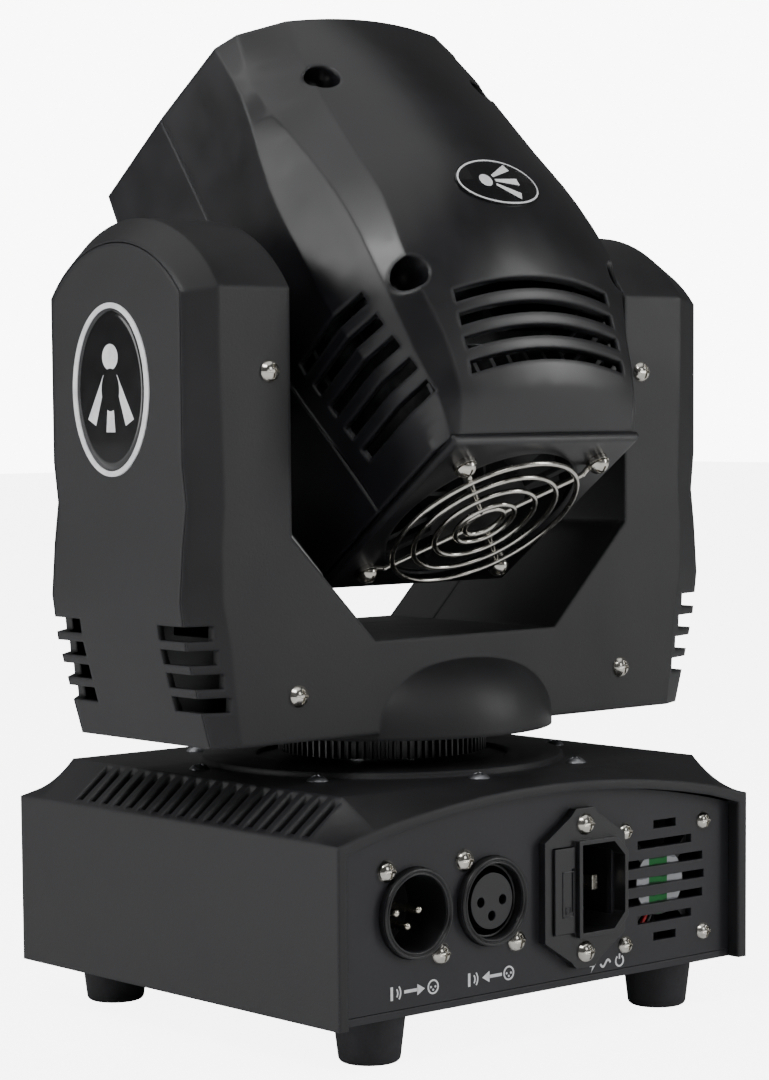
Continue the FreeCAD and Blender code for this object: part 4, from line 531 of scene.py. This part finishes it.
def fan_sticker():
    """Paper label of the base fan: pale grey with a green band 7.4 mm wide down its middle, faint printed
    rules 1.3 mm apart across it, no writing."""
    m, t, s, place = finish("fan_sticker_paper", **{"IOR": 1.45})
    x = add(t, "SeparateXYZ", links={0: place}).outputs
    off = add(t, "Math", links={0: x[0]}, values={1: (FAN_X + 0.6) * MM}, operation="SUBTRACT").outputs[0]
    away = add(t, "Math", links={0: off}, operation="ABSOLUTE").outputs[0]
    band = spread(t, away, 1.0, 0.0, (3.6 * MM, 3.8 * MM))
    rules = add(t, "TexWave", links={"Vector": place}, wave_type="BANDS", bands_direction="Z",
                values={"Scale": 120.0, "Distortion": 2.0, "Detail": 2.0,
                        "Detail Scale": 2.0}).outputs["Fac"]
    paper = ramp(t, rules, "#8f9297", "#c6c8cc", (0.25, 0.45))
    green = ramp(t, rules, "#0b4a24", "#12803a", (0.25, 0.5))
    t.links.new(add(t, "MixRGB", links={0: band, 1: paper, 2: green}).outputs[0], s.inputs["Base Color"])
    t.links.new(spread(t, noise(t, place, 0.5), 0.5, 0.7), s.inputs["Roughness"])
    return m


def wire_pvc(name, low, high):
    """PVC wire insulation: extruded, glossy, with faint rings from the die 0.6 mm apart."""
    m, t, s, place = finish(name, **{"IOR": 1.54})
    rings = noise(t, place, 0.6, 2.0, 0.5)
    t.links.new(ramp(t, rings, low, high), s.inputs["Base Color"])
    t.links.new(spread(t, rings, 0.25, 0.42), s.inputs["Roughness"])
    t.links.new(relief(t, rings, 0.01), s.inputs["Normal"])
    return m


def lit_segments():
    """Red display segments seen through their diffuser: bright in the middle, a little uneven."""
    m, t, s, place = finish("display_segments", **{"IOR": 1.5, "Emission Strength": 2.4})
    uneven = noise(t, place, 2.5, 2.0, 0.5)
    glow = ramp(t, uneven, "#c61410", "#ff3a22", (0.3, 0.7))
    t.links.new(glow, s.inputs["Emission Color"])
    t.links.new(glow, s.inputs["Base Color"])
    t.links.new(spread(t, uneven, 0.3, 0.5), s.inputs["Roughness"])
    return m


def belt_rubber():
    """Neoprene belt with a nylon face: matt black, fine cross ribs 2 mm apart."""
    m, t, s, place = finish("belt_neoprene", **{"IOR": 1.5})
    ribs = add(t, "TexWave", links={"Vector": place}, values={"Scale": 80.0}, wave_type="BANDS",
               bands_direction="Z").outputs["Fac"]
    t.links.new(ramp(t, noise(t, place, 3.0), "#121214", "#1e1e20"), s.inputs["Base Color"])
    t.links.new(spread(t, ribs, 0.6, 0.8), s.inputs["Roughness"])
    t.links.new(relief(t, ribs, 0.15), s.inputs["Normal"])
    return m


FINISHES = {
    grained_abs: "base_housing yoke_rear_shell yoke_front_shell side_panel_right side_panel_left",
    satin_abs: "head_upper_cover head_lower_cover head_rear_frame front_bezel",
    powder_coat: "base_bottom_plate rear_panel front_panel focus_barrel yoke_frame",
    polished_insulator: "xlr_input_shell xlr_output_shell xlr_output_insert power_inlet fuse_drawer "
                        "menu_button_1 menu_button_2 menu_button_3 menu_button_4",
    fan_pbt: "base_fan_frame base_fan_rotor head_fan_frame head_fan_rotor",
    foot_rubber: "feet",
    bright_nickel: "head_fan_guard head_screws panel_screws yoke_screws",
    zinc_plate: "case_screws rigging_bush pan_motor tilt_motor wheel_motors optics_bracket gobo_wheel",
    turned_aluminium: "pan_shaft tilt_pinion heat_sink led_module",
    tinned_contact: "connector_pins",
    gear_nylon: "pan_gear pan_pinion pan_bearing tilt_bearings tilt_pulley tilt_shafts",
    solder_mask: "display_board power_board main_board",
    smoked_acrylic: "display_window",
    coated_glass: "front_lens fuse",
    dichroic_filters: "colour_wheel",
    screen_print: "arm_badges",
    gloss_label: "head_badge",
    belt_rubber: "tilt_belt",
}
finishes = {}
for make, names in FINISHES.items():
    finishes[make] = make()
    for node_name in names.split():
        slots = nodes[node_name].data.materials
        slots.clear()
        slots.append(finishes[make])


def smoothed(name, body, crease):
    """The same shell with its triangles joined at shared corners and its normals blended, except across
    edges sharper than crease degrees, where two moulded faces really meet."""
    copy = bpy.data.objects.new(name + "_moulded", nodes[name].data.copy())
    bpy.context.scene.collection.objects.link(copy)
    work = bmesh.new()
    work.from_mesh(copy.data)
    bmesh.ops.remove_doubles(work, verts=work.verts, dist=0.002 * MM)
    for edge in work.edges:
        edge.smooth = edge.calc_face_angle(math.pi) < math.radians(crease)
    for face in work.faces:
        face.smooth = True
    work.to_mesh(copy.data)
    work.free()
    blend = copy.modifiers.new("even_normals", "WEIGHTED_NORMAL")
    blend.keep_sharp = True
    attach(copy, body)
    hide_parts(name)
    return copy


# body, material slot, crease in degrees, and the shells that share them
SHELLS = (
    ("head", "head_black", 17, "head_upper_cover head_lower_cover"),
    ("yoke", "case_black", 15, "yoke_rear_shell yoke_front_shell side_panel_right side_panel_left"),
    ("base", "case_black", 12, "base_housing"),
)
for body, slot, crease, shells in SHELLS:
    for shell in shells.split():
        smoothed(shell, body, crease)


def give(obj, material):
    """Puts a finish on a new piece."""
    obj.data.materials.append(material)
    return obj


def ink(name, outlines, place, body, material, lift=0.0, thickness=PRINT):
    """One thin raised print from several outlines, all laid on the same place at the same lift."""
    def lifted(points):
        """The place of the drawing, lift above the surface."""
        return place(points + [0, 0, lift])
    points, faces = join([slab(outline, thickness, lifted) for outline in outlines])
    return give(mesh_object(name, points, faces, body, False), material)


def ribbon(path, width):
    """The outline of a line drawn with a broad pen: the path shifted half a width to each side."""
    p = np.asarray(path, float)
    along = np.gradient(p, axis=0)
    along /= np.linalg.norm(along, axis=1)[:, None]
    across = np.column_stack([-along[:, 1], along[:, 0]]) * width / 2
    return np.vstack([p - across, (p + across)[::-1]])


def arc(radius, start, end, centre=(0.0, 0.0), count=24):
    """Points centre + radius (cos a, sin a) with a from start to end degrees."""
    a = np.radians(np.linspace(start, end, count))
    return np.column_stack([centre[0] + radius * np.cos(a), centre[1] + radius * np.sin(a)])


def shifted(outlines, dx, dy=0.0):
    """The same outlines moved by dx and dy."""
    return [np.asarray(outline, float) + [dx, dy] for outline in outlines]


def hoop(radius, width):
    """A circle drawn as two half ribbons, so that each outline stays simple."""
    return [ribbon(arc(radius, 0, 180), width), ribbon(arc(radius, 180, 360), width)]


# ---------------------------------------------------------------- badges
def beam_mark(size):
    """Plain mark for a badge: a lamp disc at one end and three widening rays."""
    centre = np.array([-size * 0.75, 0.0])
    parts = [oval(size * 0.3, size * 0.3, 40) + centre]
    for angle in (-26, 0, 26):
        a = math.radians(angle)
        along, across = np.array([math.cos(a), math.sin(a)]), np.array([-math.sin(a), math.cos(a)])
        near, far = size * 0.48, size * (1.72 - 0.002 * abs(angle))
        parts.append(np.array([centre + along * near - across * size * 0.06,
                               centre + along * far - across * size * 0.17,
                               centre + along * far + across * size * 0.17,
                               centre + along * near + across * size * 0.06]))
    return parts


def on_crown(p):
    """Flat drawings laid on the head's crown round its badge, read from behind: right is -X, up is along
    the beam. The crown is the curve y = ridge(z) - CROWN_ROUND x^2, its ridge a shallow arch."""
    x, z = -p[:, 0], p[:, 1]
    ridge = CROWN_Y - CROWN_FALL * z - CROWN_ARCH * z ** 2
    y = ridge - CROWN_ROUND * x ** 2 + HEAD_BADGE_PROUD + p[:, 2]
    return head_place(np.column_stack([x, y, z + HEAD_BADGE_Z]))


rim = oval(14.3, 7.6)
halves = [ribbon(rim[:37], 0.5), ribbon(np.vstack([rim[36:], rim[:1]]), 0.5)]
ink("head_badge_rim", halves, on_crown, "head", finishes[screen_print], 0.02)
ink("head_badge_mark", beam_mark(7.0), on_crown, "head", finishes[screen_print], 0.12)

for side, side_name in ((1, "right"), (-1, "left")):
    place = on_arm(side)
    points, faces = dome(INLAY_TALL, INLAY_WIDE, 0.12, 0.14, place)
    inlay = mesh_object("arm_badge_inlay_" + side_name, points, faces, "yoke")
    give(inlay, finishes[gloss_label])
    ink("arm_badge_mark_" + side_name, beam_mark(11.5), place, "yoke", finishes[screen_print],
        0.17)


# ---------------------------------------------------------------- connector panel
def signal_mark(inward):
    """A connector ring with three dots, an arrow shaft with its head, and the port's bar."""
    ring = shifted(hoop(1.75, 0.45), 6.6)
    turns = (0, math.pi, -math.pi / 2)
    dots = [arc(0.32, 0, 330, (6.6 + 0.8 * math.cos(a), 0.8 * math.sin(a)), 10) for a in turns]
    shaft = np.array([[-3.6, -0.42], [1.2, -0.42], [1.2, 0.42], [-3.6, 0.42]])
    head = np.array([[1.0, -1.5], [3.6, 0.0], [1.0, 1.5]])
    bar = np.array([[-8.4, -1.8], [-7.6, -1.8], [-7.6, 1.8], [-8.4, 1.8]])
    waves = [ribbon(arc(r, -38, 38, (-7.6, 0)), 0.4) for r in (1.7, 2.7)]
    arrow = [shaft, head]
    if not inward:
        arrow = [outline * [-1, 1] + [0.4, 0] for outline in (shaft[::-1], head[::-1])]
    return ring + dots + arrow + [bar] + waves


def power_mark():
    """A bolt beside one wave of alternating current and a ring with its gap at the top."""
    bolt = np.array([[0.6, 1.9], [-1.3, -0.3], [-0.1, -0.3], [-0.7, -1.9], [1.3, 0.4], [0.1, 0.4]])[::-1]
    t = np.linspace(-1, 1, 30)
    wave = ribbon(np.column_stack([t * 2.0, 0.9 * np.sin(t * np.pi)]), 0.6)
    ring = [ribbon(arc(1.5, 125, 415), 0.5), ribbon([[0, 0.5], [0, 1.0], [0, 2.0]], 0.5)]
    return shifted([bolt], -5.6) + shifted([wave], -0.6) + shifted(ring, 5.0)


white = finishes[screen_print]
for port, x, inward in (("input", SIGNAL_IN_X, True), ("output", SIGNAL_OUT_X, False)):
    ink("signal_%s_mark" % port, signal_mark(inward), on_rear(x, PORT_MARK_Z), "base", white)
ink("power_mark", power_mark(), on_rear(POWER_MARK_X, POWER_MARK_Z), "base", white)

REAR, LEFT = (0, 1, 0), (-1, 0, 0)
for port, x in (("input", SIGNAL_IN_X), ("output", SIGNAL_OUT_X)):
    # Two rounded hoops with a groove between them, on top of the barrel's flat rim.
    profile = [(10.25, 1.3), (12.05, 1.3), (12.05, 2.0), (11.9, 2.3), (11.55, 2.42), (11.25, 2.3),
               (11.15, 1.95), (10.95, 1.8), (10.85, 2.0), (10.65, 2.2), (10.4, 2.2), (10.25, 2.0)]
    points, faces = turned(profile, (x, PANEL_Y, CONNECTOR_Z), REAR, LEFT, 96)
    trim = mesh_object("signal_%s_trim" % port, points, faces, "base")
    give(trim, finishes[polished_insulator])
OUTPUT_RINGS = (("output_socket_rim", 7.0, 7.75, -2.35), ("output_well_ring", 9.3, 10.15, -0.7))
for name, r_in, r_out, face in OUTPUT_RINGS:
    # A square ring with its two front edges broken by 0.2.
    profile = [(r_in, face - 1.0), (r_out, face - 1.0), (r_out, face - 0.2), (r_out - 0.2, face),
               (r_in + 0.2, face), (r_in, face - 0.2)]
    points, faces = turned(profile, (SIGNAL_OUT_X, PANEL_Y, CONNECTOR_Z), REAR, LEFT, 96)
    give(mesh_object(name, points, faces, "base"), finishes[polished_insulator])

outline = [ribbon([[-w, -6.2], [-w, 0], [-w, 6.2]], 0.35) for w in (-2.0, 2.0)]
outline += [ribbon([[-2.17, h], [0, h], [2.17, h]], 0.35) for h in (-6.2, 6.2)]
outline += [ribbon([[-0.8, h], [0, h], [0.8, h]], 0.3) for h in (-5.2, -3.6)]
outline += [ribbon([[w, -5.35], [w, -4.4], [w, -3.45]], 0.3) for w in (-0.8, 0.8)]
ink("fuse_drawer_embossing", outline, on_rear(DRAWER_X - 1.2, CONNECTOR_Z - 1.0), "fuse_tray",
    finishes[polished_insulator], 3.4, EMBOSS)

points, faces = slab(oval(9.3, 9.3, 64), 0.07, on_rear(FAN_X, FAN_Z, -2.05))
give(mesh_object("base_fan_label", points, faces, "base", False), fan_sticker())
for name, low, high, offset in (("base_fan_lead_red", "#a01218", "#d8262c", 0.0),
                                ("base_fan_lead_black", "#101012", "#1c1c20", -1.5)):
    path = np.array([[-43.6, 63.7, 29.6], [-42.4, 64.1, 27.8], [-40.6, 64.0, 25.2], [-38.6, 62.6, 22.4],
                     [-37.0, 59.0, 20.6]]) + [offset, -0.1, offset * 0.55]
    points, faces = tube_along(path, 0.6)
    give(mesh_object(name, points, faces, "base"), wire_pvc("pvc_" + name, low, high))


# ---------------------------------------------------------------- menu panel
def segment(x, y, upright, length=3.9, width=0.95):
    """One bar of a seven-part digit with pointed ends."""
    h, w = length / 2, width / 2
    bar = np.array([[-h, 0], [-h + w, -w], [h - w, -w], [h, 0], [h - w, w], [-h + w, w]])
    return (bar[:, ::-1][::-1] if upright else bar) + [x, y]


lit, unlit = [], []
for k in range(4):
    x = -13.5 + 9.0 * k
    lit.append(segment(x, 0, False))
    unlit += [segment(x, 4.3 * s, False) for s in (-1, 1)]
    unlit += [segment(x + 2.3 * sx, 2.15 * sz, True) for sx in (-1, 1) for sz in (-1, 1)]
digits = on_front(DISPLAY_X, DISPLAY_Z, DISPLAY_Y)
ink("display_lit_bars", lit, digits, "base", lit_segments(), 0.0, 0.12)
ink("display_unlit_bars", unlit, digits, "base", wire_pvc("unlit_segments", "#2a0c0c", "#341010"),
    0.0, 0.12)
bars = [np.array([[-1.6, h], [1.6, h], [1.6, h + 0.55], [-1.6, h + 0.55]]) for h in (-1.5, -0.3, 0.9)]
down = np.array([[-1.7, 1.0], [0.0, -1.6], [1.7, 1.0]])
enter = [ribbon([[1.5, 1.6], [1.5, -0.4], [-0.6, -0.4]], 0.6),
         np.array([[-0.6, -1.5], [-0.6, 0.7], [-2.0, -0.4]])[::-1]]
for k, outlines in enumerate((bars, [down], [down * [1, -1]][::-1], enter)):
    outlines = [outline[::-1] if k == 2 else outline for outline in outlines]
    place = on_front(BUTTON_X0 + BUTTON_PITCH * k, DISPLAY_Z - 8.6, FRONT_Y)
    ink("menu_mark_%d" % (k + 1), outlines, place, "base", white)
corner = FRAME_LINE_Z + FRAME_LINE / 2
frame_lines = [ribbon([[-FRAME_LINE_X, h], [0, h], [FRAME_LINE_X, h]], FRAME_LINE)
               for h in (-FRAME_LINE_Z, FRAME_LINE_Z)]
frame_lines += [ribbon([[w, -corner], [w, 0], [w, corner]], FRAME_LINE)
                for w in (-FRAME_LINE_X, FRAME_LINE_X)]
place = on_front(DISPLAY_X, DISPLAY_Z, FRONT_Y)
ink("display_frame_line", frame_lines, place, "base", white)


# ---------------------------------------------------------------- floor, light and camera
ROOM_LIGHT = 0.10           # light that the plain room throws on the case
BACKGROUND_LIGHT = 9.0      # how bright the same room looks behind it
FLOOR_GLOW = 6.0
SUN_SPREAD = 80.0           # degrees across: a broad overhead sky
SUN_STRENGTH = 1.2


def paper_floor():
    """Matt pale floor: a coated board with a fibre grain too fine to read as a pattern. Its glow is for the
    eye only, so that the floor stays pale while the light on the dark case stays low."""
    m, t, s, place = finish("pale_floor", **{"IOR": 1.4})
    grain = noise(t, place, 4.0, 3.0, 0.5)
    t.links.new(ramp(t, grain, "#f4f4f5", "#fafafb", (0.3, 0.7)), s.inputs["Base Color"])
    t.links.new(spread(t, grain, 0.55, 0.65), s.inputs["Roughness"])
    s.inputs["Emission Color"].default_value = (1.0, 1.0, 1.0, 1.0)
    direct = add(t, "LightPath").outputs["Is Camera Ray"]
    t.links.new(spread(t, direct, 0.0, FLOOR_GLOW), s.inputs["Emission Strength"])
    return m


FAR, UNDER = 6.0, -0.0002   # half width of the floor, and its height just under the feet, metres
mesh = bpy.data.meshes.new("floor")
mesh.from_pydata([(-FAR, -FAR, UNDER), (FAR, -FAR, UNDER), (FAR, FAR, UNDER), (-FAR, FAR, UNDER)], [],
                 [(0, 1, 2, 3)])
floor = bpy.data.objects.new("floor", mesh)
floor.data.materials.append(paper_floor())
bpy.context.scene.collection.objects.link(floor)

world = bpy.data.worlds.new("studio")
world.use_nodes = True
air = world.node_tree
air.nodes["Background"].inputs["Color"].default_value = (1.0, 1.0, 1.0, 1.0)
seen = add(air, "LightPath").outputs["Is Camera Ray"]
air.links.new(spread(air, seen, ROOM_LIGHT, BACKGROUND_LIGHT), air.nodes["Background"].inputs["Strength"])
bpy.context.scene.world = world


def softbox(name, towards, distance, wide, tall, watts, target=(0.0, 0.0, 0.15)):
    """A rectangular area light that looks at the target from a direction and distance."""
    light = bpy.data.lights.new(name, "AREA")
    light.shape = "RECTANGLE"
    light.size, light.size_y = wide, tall
    light.energy = watts
    obj = bpy.data.objects.new(name, light)
    direction = Vector(towards).normalized()
    obj.matrix_world = (Matrix.Translation(Vector(target) + direction * distance)
                        @ direction.to_track_quat("Z", "Y").to_matrix().to_4x4())
    bpy.context.scene.collection.objects.link(obj)


# name, direction, distance, width and height in metres, watts
SOFTBOXES = (
    ("light_side", (0.895, -0.42, 0.16), 1.3, 0.6, 1.1, 8),
    ("light_far", (-0.656, 0.682, 0.317), 1.4, 0.3, 0.9, 6),
    ("light_near", (0.12, 0.92, 0.42), 1.5, 0.42, 0.5, 2),
    ("light_above", (0.607, 0.276, 0.70), 1.3, 0.6, 0.35, 7),
)
for box in SOFTBOXES:
    softbox(*box)
sky = bpy.data.lights.new("light_sky", "SUN")
sky.angle = math.radians(SUN_SPREAD)
sky.energy = SUN_STRENGTH
sky_lamp = bpy.data.objects.new("light_sky", sky)
sky_lamp.matrix_world = Vector((0.15, -0.1, 1.0)).to_track_quat("Z", "Y").to_matrix().to_4x4()
bpy.context.scene.collection.objects.link(sky_lamp)

CAMERA_PLACE = (0.55824, 0.63802, 0.17233)
AZIMUTH, ELEVATION, ROLL = math.radians(138.82), math.radians(4.88), math.radians(-0.46)
back = Vector((math.sin(AZIMUTH) * math.cos(ELEVATION), -math.cos(AZIMUTH) * math.cos(ELEVATION),
               math.sin(ELEVATION)))
right = (-back).cross(Vector((0, 0, 1))).normalized()
up = right.cross(-back)
right, up = (right * math.cos(ROLL) + up * math.sin(ROLL), up * math.cos(ROLL) - right * math.sin(ROLL))
lens = bpy.data.cameras.new("view")
lens.lens = 98.43
lens.sensor_width = 36
lens.shift_x = 0.0031
lens.shift_y = 0.1096
camera = bpy.data.objects.new("view", lens)
camera.matrix_world = Matrix.Translation(CAMERA_PLACE) @ Matrix(
    ((right.x, up.x, back.x), (right.y, up.y, back.y), (right.z, up.z, back.z))).to_4x4()
bpy.context.scene.collection.objects.link(camera)
bpy.context.scene.camera = camera
